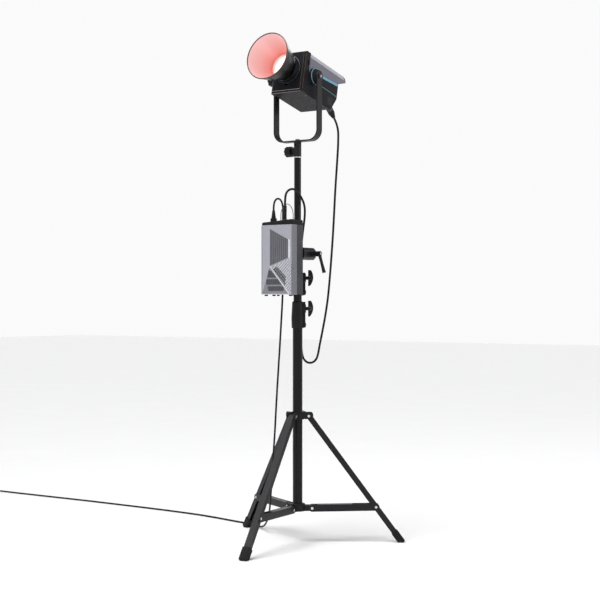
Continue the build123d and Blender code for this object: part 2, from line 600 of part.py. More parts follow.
# ---- Head: light engine and cooling ----
BOARD_BACK, BOARD_T = -37.0, 3.0
LENS_R, LENS_FLANGE_R, DOME_RISE = 25.0, 33.0, 12.0
SINK_R, SINK_BACK, FAN_BACK, FAN_DEPTH = 36.0, 26.0, 31.0, 20.0
with BuildPart() as led_board:
    with BuildSketch(head_front(BOARD_BACK + BOARD_T, LIGHT_AXIS_UP)):
        Circle(35)
    extrude(amount=BOARD_T)
    with BuildSketch(head_front(BOARD_BACK, LIGHT_AXIS_UP)):
        RectangleRounded(22, 22, 2)
    extrude(amount=1.5)
save(led_board, "led_board")
with BuildPart() as led_lens:
    with BuildSketch(head_front(BOARD_BACK, LIGHT_AXIS_UP)):
        Circle(LENS_FLANGE_R)
    extrude(amount=4)
    with BuildSketch(head_front(BOARD_BACK - 4, LIGHT_AXIS_UP)):
        Circle(LENS_R)
    extrude(amount=DOME_RISE)
    fillet(led_lens.faces().sort_by(Axis((0, 0, 0), FORWARD))[-1].edges(), radius=DOME_RISE - 1)
    with BuildSketch(head_front(BOARD_BACK, LIGHT_AXIS_UP)):
        Circle(16)
    extrude(amount=2, mode=Mode.SUBTRACT)
save(led_lens, "led_lens")
FIN_COUNT, FIN_PITCH, FIN_T = 11, 6.4, 1.4
with BuildPart() as heat_sink:
    with BuildSketch(head_front(BOARD_BACK + BOARD_T + 6, LIGHT_AXIS_UP)):
        Circle(SINK_R)
    extrude(amount=6)
    with BuildSketch(head_front(SINK_BACK, LIGHT_AXIS_UP)):
        with GridLocations(FIN_PITCH, 1, FIN_COUNT, 1):
            Rectangle(FIN_T, 2 * SINK_R)
        Circle(SINK_R, mode=Mode.INTERSECT)
    extrude(amount=SINK_BACK - (BOARD_BACK + BOARD_T + 6))
save(heat_sink, "heat_sink")
with BuildPart() as fan_frame:
    with BuildSketch(head_front(FAN_BACK + FAN_DEPTH, LIGHT_AXIS_UP)):
        RectangleRounded(84, 84, 5)
        Circle(39, mode=Mode.SUBTRACT)
    extrude(amount=FAN_DEPTH)
    with BuildSketch(head_front(FAN_BACK + FAN_DEPTH, LIGHT_AXIS_UP)):
        Circle(16)
        with PolarLocations(0, 3, start_angle=30):
            with Locations((28, 0)):
                Rectangle(28, 5)
    extrude(amount=3)
save(fan_frame, "fan_frame")
BLADE_COUNT = 7
with BuildPart() as fan_rotor:
    with BuildSketch(head_front(FAN_BACK + 15, LIGHT_AXIS_UP)):
        Circle(15)
        with PolarLocations(0, BLADE_COUNT):
            with Locations((25, 0)):
                Rectangle(23, 9)
    extrude(amount=12)
save(fan_rotor, "fan_rotor")
with BuildPart() as driver_board:
    board_plane = Plane(origin=head_point(0, 60, HEAD_BOTTOM + WALL + 5), x_dir=(1, 0, 0), z_dir=UPWARD)
    with BuildSketch(board_plane):
        Rectangle(100, 118)
    extrude(amount=1.6)
    with BuildSketch(board_plane):
        with GridLocations(28, 34, 3, 3):
            Circle(7)
    extrude(amount=12)
save(driver_board, "driver_board")

# ---- Head: rear panel and its controls ----
PANEL_UP, PANEL_W, PANEL_H, PANEL_T = 5.5, 110.0, 52.0, 2.0
DISPLAY_X, DISPLAY_UP = -18.0, 10.0
DIAL_X, DIAL_UP, DIAL_R = 34.0, 12.0, 10.0
MENU_X, POWER_X, BUTTON_UP, BUTTON_R = 14.0, 34.0, -12.0, 5.0
BUTTON_GAP = 0.3
with BuildPart() as rear_panel:
    with BuildSketch(head_rear(REAR_FACE, PANEL_UP)):
        RectangleRounded(PANEL_W, PANEL_H, 4)
    extrude(amount=PANEL_T)
    for button_x in (MENU_X, POWER_X):
        with BuildSketch(head_rear(REAR_FACE, BUTTON_UP, button_x)):
            Circle(BUTTON_R + BUTTON_GAP)
        extrude(amount=PANEL_T, mode=Mode.SUBTRACT)
save(rear_panel, "rear_panel")
with BuildPart() as display:
    with BuildSketch(head_rear(REAR_FACE + PANEL_T, DISPLAY_UP, DISPLAY_X)):
        RectangleRounded(54, 30, 2)
    extrude(amount=1.2)
save(display, "display")
with BuildPart() as dial:
    with BuildSketch(head_rear(REAR_FACE + PANEL_T + BUTTON_GAP, DIAL_UP, DIAL_X)):
        Circle(DIAL_R)
    extrude(amount=11)
    chamfer(dial.faces().sort_by(Axis((0, 0, 0), BACKWARD))[-1].edges(), length=1)
save(dial, "dial")


def make_button(x):
    """Round push button standing through the rear panel."""
    with BuildPart() as button:
        with BuildSketch(head_rear(REAR_FACE - 3, BUTTON_UP, x)):
            Circle(BUTTON_R)
        extrude(amount=8)
        fillet(button.faces().sort_by(Axis((0, 0, 0), BACKWARD))[-1].edges(), radius=0.8)
    return button


save(make_button(MENU_X), "menu_button")
save(make_button(POWER_X), "power_button")

# ---- Control unit: covers, cap and board ----
CASE_WALL, CAP_CHAMFER = 2.5, 3.0
with BuildPart() as unit_front_cover:
    with BuildSketch(Plane.XY.offset(UNIT_Z0)):
        with Locations((0, (UNIT_FRONT + UNIT_SEAM) / 2)):
            Rectangle(2 * UNIT_HALF, UNIT_SEAM - UNIT_FRONT)
    extrude(amount=UNIT_Z1 - UNIT_Z0)
    fillet(unit_front_cover.faces().sort_by(Axis.Y)[0].edges().filter_by(Axis.Z), radius=6)
    with BuildSketch(Plane.XY.offset(UNIT_Z0 + CASE_WALL)):
        with Locations((0, (UNIT_FRONT + UNIT_SEAM) / 2 + CASE_WALL)):
            Rectangle(2 * UNIT_HALF - 2 * CASE_WALL - 3, UNIT_SEAM - UNIT_FRONT)
    extrude(amount=UNIT_Z1 - UNIT_Z0 - 2 * CASE_WALL, mode=Mode.SUBTRACT)
save(unit_front_cover, "unit_front_cover")
with BuildPart() as unit_rear_shell:
    with BuildSketch(Plane.XY.offset(UNIT_Z0)):
        with Locations((0, (UNIT_SEAM + UNIT_REAR) / 2)):
            Rectangle(2 * UNIT_HALF, UNIT_REAR - UNIT_SEAM)
    extrude(amount=UNIT_Z1 - UNIT_Z0)
    fillet(unit_rear_shell.faces().sort_by(Axis.Y)[-1].edges().filter_by(Axis.Z), radius=5)
    with BuildSketch(Plane.XY.offset(UNIT_Z0 + CASE_WALL)):
        with Locations((0, (UNIT_SEAM + UNIT_REAR) / 2 - CASE_WALL)):
            Rectangle(2 * UNIT_HALF - 2 * CASE_WALL - 2, UNIT_REAR - UNIT_SEAM)
    extrude(amount=UNIT_Z1 - UNIT_Z0 - 2 * CASE_WALL, mode=Mode.SUBTRACT)
save(unit_rear_shell, "unit_rear_shell")
# The cap's top slopes up from the left side to the right.
CAP_LOW_Z, CAP_HIGH_Z = 1147.0, 1156.0
CAP_RISE = (CAP_HIGH_Z - CAP_LOW_Z) / (2 * UNIT_HALF)
CAP_TOP_PLANE = Plane(origin=(-UNIT_HALF, 0, CAP_LOW_Z), x_dir=(1, 0, CAP_RISE), z_dir=(-CAP_RISE, 0, 1))
with BuildPart() as unit_top_cap:
    with BuildSketch(Plane.XY.offset(UNIT_Z1)):
        with Locations((0, (UNIT_FRONT + UNIT_REAR) / 2)):
            RectangleRounded(2 * UNIT_HALF, UNIT_REAR - UNIT_FRONT, 6)
    extrude(amount=CAP_HIGH_Z - UNIT_Z1)
    split(bisect_by=CAP_TOP_PLANE, keep=Keep.BOTTOM)
    chamfer(unit_top_cap.faces().sort_by(Axis.Z)[-1].edges(), length=CAP_CHAMFER)
save(unit_top_cap, "unit_top_cap")
with BuildPart() as unit_board:
    with BuildSketch(Plane.XZ.offset(-(UNIT_SEAM - 10))):
        with Locations((0, (UNIT_Z0 + UNIT_Z1) / 2)):
            Rectangle(112, 220)
    extrude(amount=-2)
    with BuildSketch(Plane.XZ.offset(-(UNIT_SEAM - 8))):
        with Locations((0, (UNIT_Z0 + UNIT_Z1) / 2)):
            with GridLocations(34, 42, 3, 5):
                RectangleRounded(22, 28, 3)
    extrude(amount=-22)
save(unit_board, "unit_board")

# ---- Control unit: mast clamp with its moving jaw, screw and lever ----
SPINE_Y, JAW_Y, JAW_HALF = -18.0, 14.0, 14.0
NUT_X0, NUT_X1, NUT_END, HUB_X0, HUB_X1 = 35.0, 69.0, 73.0, 76.0, 100.0
SCREW_R, JAW_X0, JAW_X1, JAW_BOSS = 4.0, TOP_TUBE_D / 2 + 0.4, 21.0, 24.0
with BuildPart() as clamp_body:
    with BuildSketch(Plane.XY.offset(CLAMP_Z0)):
        with BuildLine():
            Polyline((-27, UNIT_REAR), (NUT_X1, UNIT_REAR), (NUT_X1, JAW_Y), (NUT_X0, JAW_Y), (NUT_X0, SPINE_Y),
                     (-TOP_TUBE_D / 2, SPINE_Y), (-TOP_TUBE_D / 2, JAW_Y), (-27, JAW_Y), close=True)
        make_face()
    extrude(amount=CLAMP_Z1 - CLAMP_Z0)
    chamfer(clamp_body.faces().sort_by(Axis.X)[-1].edges().filter_by(Axis.Y), length=9)
    with BuildSketch(Plane.YZ.offset(NUT_X1)):
        with Locations((0, SCREW_Z)):
            Circle(10)
    extrude(amount=NUT_END - NUT_X1)
    with BuildSketch(Plane.YZ.offset(NUT_X0)):
        with Locations((0, SCREW_Z)):
            Circle(SCREW_R + 0.3)
    extrude(amount=NUT_END - NUT_X0, mode=Mode.SUBTRACT)
save(clamp_body, "clamp_body")
with BuildPart() as clamp_jaw:
    with BuildSketch(Plane.YZ.offset(JAW_X0)):
        with Locations((0, SCREW_Z)):
            RectangleRounded(2 * JAW_HALF, 36, 4)
    extrude(amount=JAW_X1 - JAW_X0)
    with BuildSketch(Plane.YZ.offset(JAW_X1)):
        with Locations((0, SCREW_Z)):
            Circle(8)
    extrude(amount=JAW_BOSS - JAW_X1)
save(clamp_jaw, "clamp_jaw")
LEVER_LEAN, ARM_X = 17.0, 93.0
with BuildPart() as clamp_lever:
    with BuildSketch(Plane.YZ.offset(JAW_BOSS + 0.3)):
        with Locations((0, SCREW_Z)):
            Circle(SCREW_R)
    extrude(amount=HUB_X0 - JAW_BOSS)
    with BuildSketch(Plane.YZ.offset(HUB_X0)):
        with Locations((0, SCREW_Z)):
            Circle(9.5)
    extrude(amount=HUB_X1 - HUB_X0)
    chamfer(clamp_lever.faces().sort_by(Axis.X)[-1].edges(), length=2)
    lean = radians(LEVER_LEAN)
    arm_plane = Plane(origin=(ARM_X, 0, SCREW_Z), x_dir=(0, 1, 0), z_dir=(sin(lean), 0, -cos(lean)))
    with BuildSketch(arm_plane):
        Ellipse(7.5, 5.8)
    with BuildSketch(arm_plane.offset(40)):
        Ellipse(6.5, 5)
    with BuildSketch(arm_plane.offset(70)):
        Ellipse(8, 6.3)
    loft()
save(clamp_lever, "clamp_lever")

# ---- Cord fittings: head plug, unit plug, and the inlet connector with its strain relief ----
with BuildPart() as head_plug:
    with BuildSketch(PLUG_PLANE):
        Circle(PLUG_R)
    extrude(amount=PLUG_LENGTH * 0.62)
    with BuildSketch(PLUG_PLANE.offset(PLUG_LENGTH * 0.62)):
        Circle(PLUG_R - 2)
    with BuildSketch(PLUG_PLANE.offset(PLUG_LENGTH)):
        Circle(HEAD_CABLE_D / 2 + 2.5)
    loft()
save(head_plug, "head_plug")
UNIT_PLUG_Z1, MAINS_RELIEF_Z1 = 1207.0, 1192.0
with BuildPart() as unit_plug:
    with BuildSketch(Plane.XY.offset(CAP_LOW_Z)):
        with Locations((OUTPUT_X, CONNECTOR_Y)):
            Circle(9)
    extrude(amount=CAP_Z1 + 8 - CAP_LOW_Z)
    add(unit_top_cap.part, mode=Mode.SUBTRACT)
    with BuildSketch(Plane.XY.offset(CAP_Z1 + 8)):
        with Locations((OUTPUT_X, CONNECTOR_Y)):
            Circle(6)
    extrude(amount=UNIT_PLUG_Z1 - CAP_Z1 - 8)
save(unit_plug, "unit_plug")
with BuildPart() as mains_connector:
    with BuildSketch(Plane.XY.offset(CAP_LOW_Z)):
        with Locations((MAINS_X, CONNECTOR_Y)):
            RectangleRounded(20, 17, 4)
    extrude(amount=CAP_Z1 + 9 - CAP_LOW_Z)
    add(unit_top_cap.part, mode=Mode.SUBTRACT)
    with BuildSketch(Plane.XY.offset(CAP_Z1 + 9)):
        with Locations((MAINS_X, CONNECTOR_Y)):
            Circle(11.5)
    extrude(amount=4)
    with BuildSketch(Plane.XY.offset(CAP_Z1 + 13)):
        with Locations((MAINS_X, CONNECTOR_Y)):
            Circle(8)
    with BuildSketch(Plane.XY.offset(MAINS_RELIEF_Z1)):
        with Locations((MAINS_X, CONNECTOR_Y)):
            Circle(MAINS_CORD_D / 2 + 1)
    loft()
save(mains_connector, "mains_connector")


# ---- Cords: straight runs joined by tangent arcs ----
def bend_radii(points):
    """Radius at each corner of a route: 0.45 of its shorter run, divided by the tangent of half the turn."""
    radii = []
    for before, corner, after in zip(points, points[1:], points[2:]):
        arriving, leaving = corner - before, after - corner
        turn = radians(arriving.get_angle(leaving))
        radii.append(0.45 * min(arriving.length, leaving.length) / tan(turn / 2))
    return radii


def make_cord(name, diameter, route):
    """Sweep a cord's tube along its route, and print its length, its bends and its volume's error."""
    points = [Vector(*point) for point in route]
    radii = bend_radii(points)
    with BuildPart() as cord:
        with BuildLine() as path:
            FilletPolyline(*points, radius=radii)
        with BuildSketch(Plane(origin=points[0], z_dir=points[1] - points[0])):
            Circle(diameter / 2)
        sweep()
    length = sum(edge.length for edge in path.edges())
    volume_ratio = cord.part.volume / (pi * diameter ** 2 / 4 * length)
    smallest = [round(radius) for radius in radii]
    print(f"{name}: length {length:.0f} mm, volume ratio {volume_ratio:.4f}, bend radii {smallest}")
    return cord


plug_end = PLUG_PLANE.from_local_coords(Vector(0, 0, PLUG_LENGTH))
plug_lead = PLUG_PLANE.from_local_coords(Vector(0, 0, PLUG_LENGTH + 42))
UPPER_ROUTE = [
    (plug_end.X, plug_end.Y, plug_end.Z), (plug_lead.X, plug_lead.Y, plug_lead.Z),
    (46, 203, 1459), (47, 192, 1376), (46.5, 181, 1283), (46.5, 172, 1185), (46, 163, 1089), (44, 153, 996),
]
LOWER_ROUTE = [
    (44, 153, 996), (42, 143, 903), (35.5, 132.5, 823), (27, 121.5, 753), (19.5, 115, 705), (15, 111, 669),
    (10, 101, 650), (2, 84, 642), (-7, 66, 647), (-14, 54, 663), (-18, 50, 703), (-23, 52, 776),
    (-27, 52, 868), (-26, 51, 960), (-20, 50, 1046), (-7, 44, 1120), (11, 31, 1174), (25, 9, 1213),
    (26, -14, 1240), (21, -38, 1264), (17, -61, 1269), (12, -83, 1260), (10, -95, 1240), (10, -95, UNIT_PLUG_Z1),
]
save(make_cord("head_cable_upper", HEAD_CABLE_D, UPPER_ROUTE), "head_cable_upper")
save(make_cord("head_cable_lower", HEAD_CABLE_D, LOWER_ROUTE), "head_cable_lower")

FLOOR_Z = MAINS_CORD_D / 2 + 0.1
MAINS_ROUTE = [
    (MAINS_X, CONNECTOR_Y, MAINS_RELIEF_Z1), (-39, -95, 1213), (-40, -82, 1231), (-42, -60, 1237),
    (-44, -39, 1230), (-46, -26, 1211), (-48, -23, 1175), (-49, -25, 1103), (-46, -26, 992), (-45, -29, 892),
    (-49, -33, 792), (-54, -36, 692), (-59, -40, 592), (-64, -43, 492), (-68, -46, 392), (-73, -50, 300),
    (-82, -46, 216), (-104, -22, 142), (-142, 24, 86), (-192, 78, 42), (-246, 132, 13), (-302, 180, FLOOR_Z),
    (-362, 207, FLOOR_Z), (-446, 222, FLOOR_Z), (-540, 244, FLOOR_Z), (-636, 262, FLOOR_Z),
    (-736, 271, FLOOR_Z), (-838, 277, FLOOR_Z), (-940, 281, FLOOR_Z), (-1042, 283, FLOOR_Z),
    (-1144, 284, FLOOR_Z), (-1246, 285.5, FLOOR_Z), (-1348, 285, FLOOR_Z), (-1450, 283, FLOOR_Z),
    (-1552, 281.5, FLOOR_Z), (-1652, 279, FLOOR_Z), (-1756, 279, FLOOR_Z), (-1860, 280.5, FLOOR_Z),
]
save(make_cord("mains_cord", MAINS_CORD_D, MAINS_ROUTE), "mains_cord")

# ---- Mains cord: the put-away coil, whose tail leads to the wall plug ----
COIL_X, COIL_Y, COIL_R, COIL_HALF_WIDTH, COIL_HEIGHT = -1880.0, 230.0, 39.5, 14.5, 14.0
TAIL_X, TAIL_END_Y, TAIL_Z = -1930.5, 186.0, 10.2
with BuildPart() as mains_coil:
    with BuildSketch(Plane.XY):
        with Locations((COIL_X, COIL_Y)):
            Circle(COIL_R + COIL_HALF_WIDTH)
            Circle(COIL_R - COIL_HALF_WIDTH, mode=Mode.SUBTRACT)
    extrude(amount=COIL_HEIGHT)
    fillet(mains_coil.edges(), radius=3)
    with BuildSketch(Plane(origin=(TAIL_X, TAIL_END_Y, TAIL_Z), z_dir=(0, 1, 0))):
        Circle(MAINS_CORD_D / 2)
    extrude(amount=COIL_Y - TAIL_END_Y)
save(mains_coil, "mains_coil")
RELIEF_LENGTH, PLUG_BODY, PLUG_PIN, PIN_PITCH = 16.0, 32.0, 19.0, 19.0
with BuildPart() as mains_plug:
    plug_face = Plane(origin=(TAIL_X, TAIL_END_Y, TAIL_Z), x_dir=(1, 0, 0), z_dir=(0, -1, 0))
    with BuildSketch(plug_face):
        Circle(MAINS_CORD_D / 2 + 0.8)
    with BuildSketch(plug_face.offset(RELIEF_LENGTH)):
        Circle(7)
    loft()
    with BuildSketch(plug_face.offset(RELIEF_LENGTH)):
        RectangleRounded(34, 20, 8)
    extrude(amount=PLUG_BODY)
    with BuildSketch(plug_face.offset(RELIEF_LENGTH + PLUG_BODY)):
        with GridLocations(PIN_PITCH, 1, 2, 1):
            Circle(2.4)
    extrude(amount=PLUG_PIN)
save(mains_plug, "mains_plug")
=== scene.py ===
from math import cos, hypot, pi, radians, sin, sqrt

import bmesh
import bpy
from mathutils import Matrix, Vector


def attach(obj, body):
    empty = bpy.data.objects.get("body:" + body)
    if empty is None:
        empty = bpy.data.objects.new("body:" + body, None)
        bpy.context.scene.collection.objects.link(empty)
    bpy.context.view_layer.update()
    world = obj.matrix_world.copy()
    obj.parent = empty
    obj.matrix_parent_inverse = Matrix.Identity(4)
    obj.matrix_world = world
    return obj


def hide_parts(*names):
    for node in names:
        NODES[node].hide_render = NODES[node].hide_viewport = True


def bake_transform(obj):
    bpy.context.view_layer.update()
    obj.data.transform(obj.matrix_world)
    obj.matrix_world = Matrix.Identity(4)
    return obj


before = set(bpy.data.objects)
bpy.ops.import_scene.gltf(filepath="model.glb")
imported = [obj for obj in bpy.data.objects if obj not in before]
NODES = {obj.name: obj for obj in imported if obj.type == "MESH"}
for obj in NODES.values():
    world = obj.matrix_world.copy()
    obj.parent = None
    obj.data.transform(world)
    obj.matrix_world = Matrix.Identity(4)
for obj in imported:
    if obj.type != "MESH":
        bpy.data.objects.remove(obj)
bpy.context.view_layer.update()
MM = 0.001

# ---- The head's own axes, at rest ----
TILT_Z = 1.670
TILT = radians(12.7)
RIGHT = Vector((1, 0, 0))
BACKWARD = Vector((0, cos(TILT), -sin(TILT)))
UPWARD = Vector((0, sin(TILT), cos(TILT)))
LIGHT_AXIS_UP = 0.009


def head_point(x, back, up):
    """A point of the head, in metres right of, behind and above the tilt axis."""
    return Vector((0, 0, TILT_Z)) + RIGHT * x + BACKWARD * back + UPWARD * up


def new_object(name, data, material=None):
    """Object from its data, linked, with its material."""
    obj = bpy.data.objects.new(name, data)
    bpy.context.scene.collection.objects.link(obj)
    if material:
        data.materials.append(material)
    return obj


# ---- Camera: level, at the photograph's viewing angle ----
CAMERA_AZIMUTH = radians(33.7)
CAMERA_SIDE, CAMERA_DISTANCE, CAMERA_HEIGHT = 0.0086, 4.680, 0.873
SENSOR_MM, FOCAL_MM, FAR_CLIP = 36, 78, 60


def make_camera():
    """Long lens, from the front left of the light and level with the middle of the mast."""
    data = bpy.data.cameras.new("camera")
    data.sensor_width, data.lens, data.clip_end = SENSOR_MM, FOCAL_MM, FAR_CLIP
    camera = new_object("camera", data)
    side = Vector((cos(CAMERA_AZIMUTH), sin(CAMERA_AZIMUTH), 0))
    away = Vector((-sin(CAMERA_AZIMUTH), cos(CAMERA_AZIMUTH), 0))
    camera.location = side * CAMERA_SIDE - away * CAMERA_DISTANCE + Vector((0, 0, CAMERA_HEIGHT))
    camera.rotation_euler = (radians(90), 0, CAMERA_AZIMUTH)
    bpy.context.scene.camera = camera


make_camera()


# ---- Node materials ----
def new_material(name):
    """An empty node material, its links, and its Principled shader."""
    material = bpy.data.materials.new(name)
    material.use_nodes = True
    tree = material.node_tree
    shader = tree.nodes["Principled BSDF"]
    return material, tree, shader


def feed(tree, socket, value):
    """Give an input a link or a plain value."""
    if isinstance(value, bpy.types.NodeSocket):
        tree.links.new(value, socket)
    else:
        socket.default_value = value


def add(tree, kind, *values, operation=None, **named):
    """A shader node whose inputs are given in order or by name, each as a socket or a plain value."""
    node = tree.nodes.new("ShaderNode" + kind)
    if operation:
        node.operation = operation
    for socket, value in zip(node.inputs, values):
        feed(tree, socket, value)
    for label, value in named.items():
        feed(tree, node.inputs[label.replace("_", " ")], value)
    return node


def coordinates(tree, scale=(1, 1, 1)):
    """Object coordinates, which are metres in the row's frame, through a mapping."""
    source = add(tree, "TexCoord")
    return add(tree, "Mapping", Vector=source.outputs["Object"], Scale=scale).outputs["Vector"]


def noise(tree, vector, scale, detail=4.0, roughness=0.6):
    """Noise texture's value."""
    node = add(tree, "TexNoise", Vector=vector, Scale=scale, Detail=detail, Roughness=roughness)
    return node.outputs["Fac"]


def ramp(tree, value, stops):
    """Colour ramp from (position, grey or colour) stops."""
    node = add(tree, "ValToRGB", value)
    elements = node.color_ramp.elements
    while len(elements) < len(stops):
        elements.new(0.5)
    for element, (position, colour) in zip(elements, stops):
        element.position = position
        shade = (colour, colour, colour) if isinstance(colour, (int, float)) else colour
        element.color = (*shade, 1)
    return node.outputs["Color"]


def mix(tree, factor, first, second, blend="MIX"):
    """Mix two colours, each a socket or a plain colour."""
    node = add(tree, "Mix")
    node.data_type = "RGBA"
    node.blend_type = blend
    for socket, value in ((node.inputs[0], factor), (node.inputs[6], first), (node.inputs[7], second)):
        if isinstance(value, bpy.types.NodeSocket):
            tree.links.new(value, socket)
        elif isinstance(value, (int, float)):
            socket.default_value = value if socket == node.inputs[0] else (value, value, value, 1)
        else:
            socket.default_value = (*value, 1)
    return node.outputs[2]


def bump(tree, shader, heights):
    """Chain of bumps from (height socket, strength, distance in metres)."""
    normal = None
    for height, strength, distance in heights:
        node = add(tree, "Bump", Strength=strength, Distance=distance, Height=height)
        if normal is not None:
            tree.links.new(normal, node.inputs["Normal"])
        normal = node.outputs["Normal"]
    tree.links.new(normal, shader.inputs["Normal"])


def edge_wear(tree, radius=0.0009):
    """0 on flats and 1 on sharp edges, where a rounded normal differs from the true one."""
    true_normal = add(tree, "NewGeometry").outputs["Normal"]
    rounded = add(tree, "Bevel", Radius=radius)
    rounded.samples = 4
    alike = add(tree, "VectorMath", true_normal, rounded.outputs["Normal"], operation="DOT_PRODUCT")
    return ramp(tree, alike.outputs["Value"], [(0.88, 1.0), (0.985, 0.0)])


def surface(name, colour, rough, metallic=0.0, grain=900.0, grain_depth=0.00005, mottle=0.25, worn=None,
            coat=0.0, stretch=(1, 1, 1), specular=0.5, patchy=0.09):
    """A finished surface: mottled colour, uneven gloss, fine grain and worn edges."""
    material, tree, shader = new_material(name)
    vector = coordinates(tree, stretch)
    broad = noise(tree, vector, 14.0)
    fine = noise(tree, vector, grain, 3.0)
    smudge = noise(tree, vector, 55.0, 6.0, 0.7)
    darker = tuple(channel * (1 - mottle) for channel in colour)
    lighter = tuple(min(1.0, channel * (1 + mottle)) for channel in colour)
    tone = ramp(tree, broad, [(0.3, darker), (0.7, lighter)])
    tone = mix(tree, ramp(tree, fine, [(0.35, 0.0), (0.8, 0.25)]), tone, lighter)
    if worn:
        rubbed = mix(tree, edge_wear(tree), 0.0, ramp(tree, smudge, [(0.35, 0.15), (0.7, 0.8)]))
        tone = mix(tree, rubbed, tone, worn)
    gloss = ramp(tree, smudge, [(0.25, max(0.03, rough - patchy)), (0.75, min(1.0, rough + patchy))])
    for label, value in (("Base Color", tone), ("Roughness", gloss), ("Metallic", metallic),
                         ("Specular IOR Level", specular), ("Coat Weight", coat)):
        feed(tree, shader.inputs[label], value)
    bump(tree, shader, [(fine, 0.5, grain_depth), (smudge, 0.25, grain_depth * 1.5)])
    return material


POWDER_COAT = surface("powder_coat", (0.0075, 0.0075, 0.009), 0.36, grain=1500, worn=(0.07, 0.07, 0.075),
                      specular=0.22)
TUBE_PAINT = surface("tube_paint", (0.005, 0.005, 0.006), 0.24, grain=700, worn=(0.06, 0.06, 0.065),
                     stretch=(1, 1, 0.06), specular=0.17, mottle=0.12, patchy=0.04)
MOULDED = surface("moulded_plastic", (0.006, 0.006, 0.007), 0.42, grain=2200, grain_depth=0.00008,
                  worn=(0.03, 0.03, 0.033), specular=0.2)
SHELL_BLACK = surface("shell_black", (0.014, 0.013, 0.015), 0.42, grain=1800, worn=(0.16, 0.13, 0.125),
                      specular=0.06, mottle=0.12)
RING_BLACK = surface("ring_black", (0.004, 0.004, 0.005), 0.38, grain=1500, worn=(0.1, 0.11, 0.13),
                     specular=0.1)
SILVER = surface("silver_paint", (0.135, 0.132, 0.165), 0.4, 0.3, grain=2600, mottle=0.04, patchy=0.03,
                 worn=(0.42, 0.42, 0.47), coat=0.1)
LIGHT_PANEL = surface("light_panel", (0.29, 0.29, 0.335), 0.45, 0.1, grain=2000, mottle=0.02, patchy=0.02,
                      worn=(0.7, 0.7, 0.74))
# Painted shade: a darker copy of the unit front's silver, for the sides of its front cover.
CHEEK_SHADE_GREY = surface("cheek_painted_shade_grey", (0.15, 0.15, 0.17), 0.42, 0.2, grain=2000, mottle=0.04, patchy=0.03,
                     worn=(0.4, 0.4, 0.44))
SHELL_GREY = surface("shell_grey", (0.03, 0.029, 0.034), 0.45, 0.1, grain=1700, worn=(0.1, 0.1, 0.11),
                     specular=0.35)
BLUE_TRIM = surface("blue_trim", (0.12, 0.31, 0.44), 0.35, 0.2, grain=1600, mottle=0.1,
                    worn=(0.25, 0.5, 0.62))
RUBBER = surface("rubber", (0.006, 0.006, 0.006), 0.7, grain=1200, grain_depth=0.00012, mottle=0.4,
                 specular=0.2)
STEEL = surface("bright_steel", (0.62, 0.6, 0.56), 0.28, 1.0, grain=1300, mottle=0.12, worn=(0.85, 0.84, 0.8))
DARK_STEEL = surface("dark_steel", (0.12, 0.12, 0.125), 0.33, 0.9, grain=1300, mottle=0.2,
                     worn=(0.4, 0.4, 0.4))
ALLOY = surface("black_alloy", (0.02, 0.02, 0.023), 0.33, 0.5, grain=900, worn=(0.18, 0.18, 0.19),
                specular=0.35)
JACKET = surface("cable_jacket", (0.005, 0.005, 0.0055), 0.5, grain=1500, grain_depth=0.00006, mottle=0.35,
                 specular=0.2)
BOARD = surface("circuit_board", (0.02, 0.13, 0.06), 0.4, grain=500, mottle=0.3, coat=0.3)
GLASS_BLACK = surface("display_glass", (0.006, 0.006, 0.008), 0.12, grain=300, grain_depth=0.00001,
                      coat=0.6)


# ---- Cords ----
def smooth_line(points, resolution=10):
    """Points along the NURBS spline that has these control points, as the curve itself gives them."""
    data = bpy.data.curves.new("route", "CURVE")
    data.dimensions = "3D"
    data.resolution_u = resolution
    spline = data.splines.new("NURBS")
    spline.points.add(len(points) - 1)
    for control, point in zip(spline.points, points):
        control.co = (*point, 1)
    spline.order_u = 3
    spline.use_endpoint_u = True
    curve = new_object("route", data)
    bpy.context.view_layer.update()
    mesh = bpy.data.meshes.new_from_object(curve)
    line = [vertex.co.copy() for vertex in mesh.vertices]
    bpy.data.objects.remove(curve)
    bpy.data.curves.remove(data)
    bpy.data.meshes.remove(mesh)
    return line


def frames_along(line):
    """Pairs of cross directions carried along a line without twisting."""
    tangent = (line[1] - line[0]).normalized()
    side = tangent.orthogonal().normalized()
    result = []
    for index, point in enumerate(line):
        ahead = line[min(index + 1, len(line) - 1)] - line[max(index - 1, 0)]
        turned = ahead.normalized()
        side = (tangent.rotation_difference(turned) @ side).normalized()
        tangent = turned
        result.append((side, tangent.cross(side)))
    return result


def tube(name, line, radius, material, sides=14):
    """Closed tube along a line; radius is a number or a function of the distance along it."""
    mesh = bpy.data.meshes.new(name)
    vertices, faces = [], []
    travelled = 0.0
    for index, (point, (side, up)) in enumerate(zip(line, frames_along(line))):
        if index:
            travelled += (point - line[index - 1]).length
        size = radius(travelled) if callable(radius) else radius
        for step in range(sides):
            angle = 2 * pi * step / sides
            vertices.append(point + side * (size * cos(angle)) + up * (size * sin(angle)))
    for ring in range(len(line) - 1):
        for step in range(sides):
            following = (step + 1) % sides
            faces.append((ring * sides + step, ring * sides + following,
                          (ring + 1) * sides + following, (ring + 1) * sides + step))
    faces.append(tuple(reversed(range(sides))))
    faces.append(tuple(range((len(line) - 1) * sides, len(line) * sides)))
    mesh.from_pydata(vertices, [], faces)
    mesh.update()
    for polygon in mesh.polygons:
        polygon.use_smooth = len(polygon.vertices) == 4
    return new_object(name, mesh, material)


HEAD_CABLE_D, MAINS_CORD_D = 0.008, 0.007
# The head plug stands out of the head's slanted lower rear face, which rises 47 mm over 27 mm.
SLANT = Vector((27, 47)).normalized()
PLUG_AXIS = (BACKWARD * SLANT.y - UPWARD * SLANT.x).normalized()
PLUG_BASE = head_point(0.049, 0.139 + 0.0115 * 27 / 47, -0.0595)
PLUG_END = PLUG_BASE + PLUG_AXIS * 0.050
PLUG_LEAD = PLUG_BASE + PLUG_AXIS * 0.092

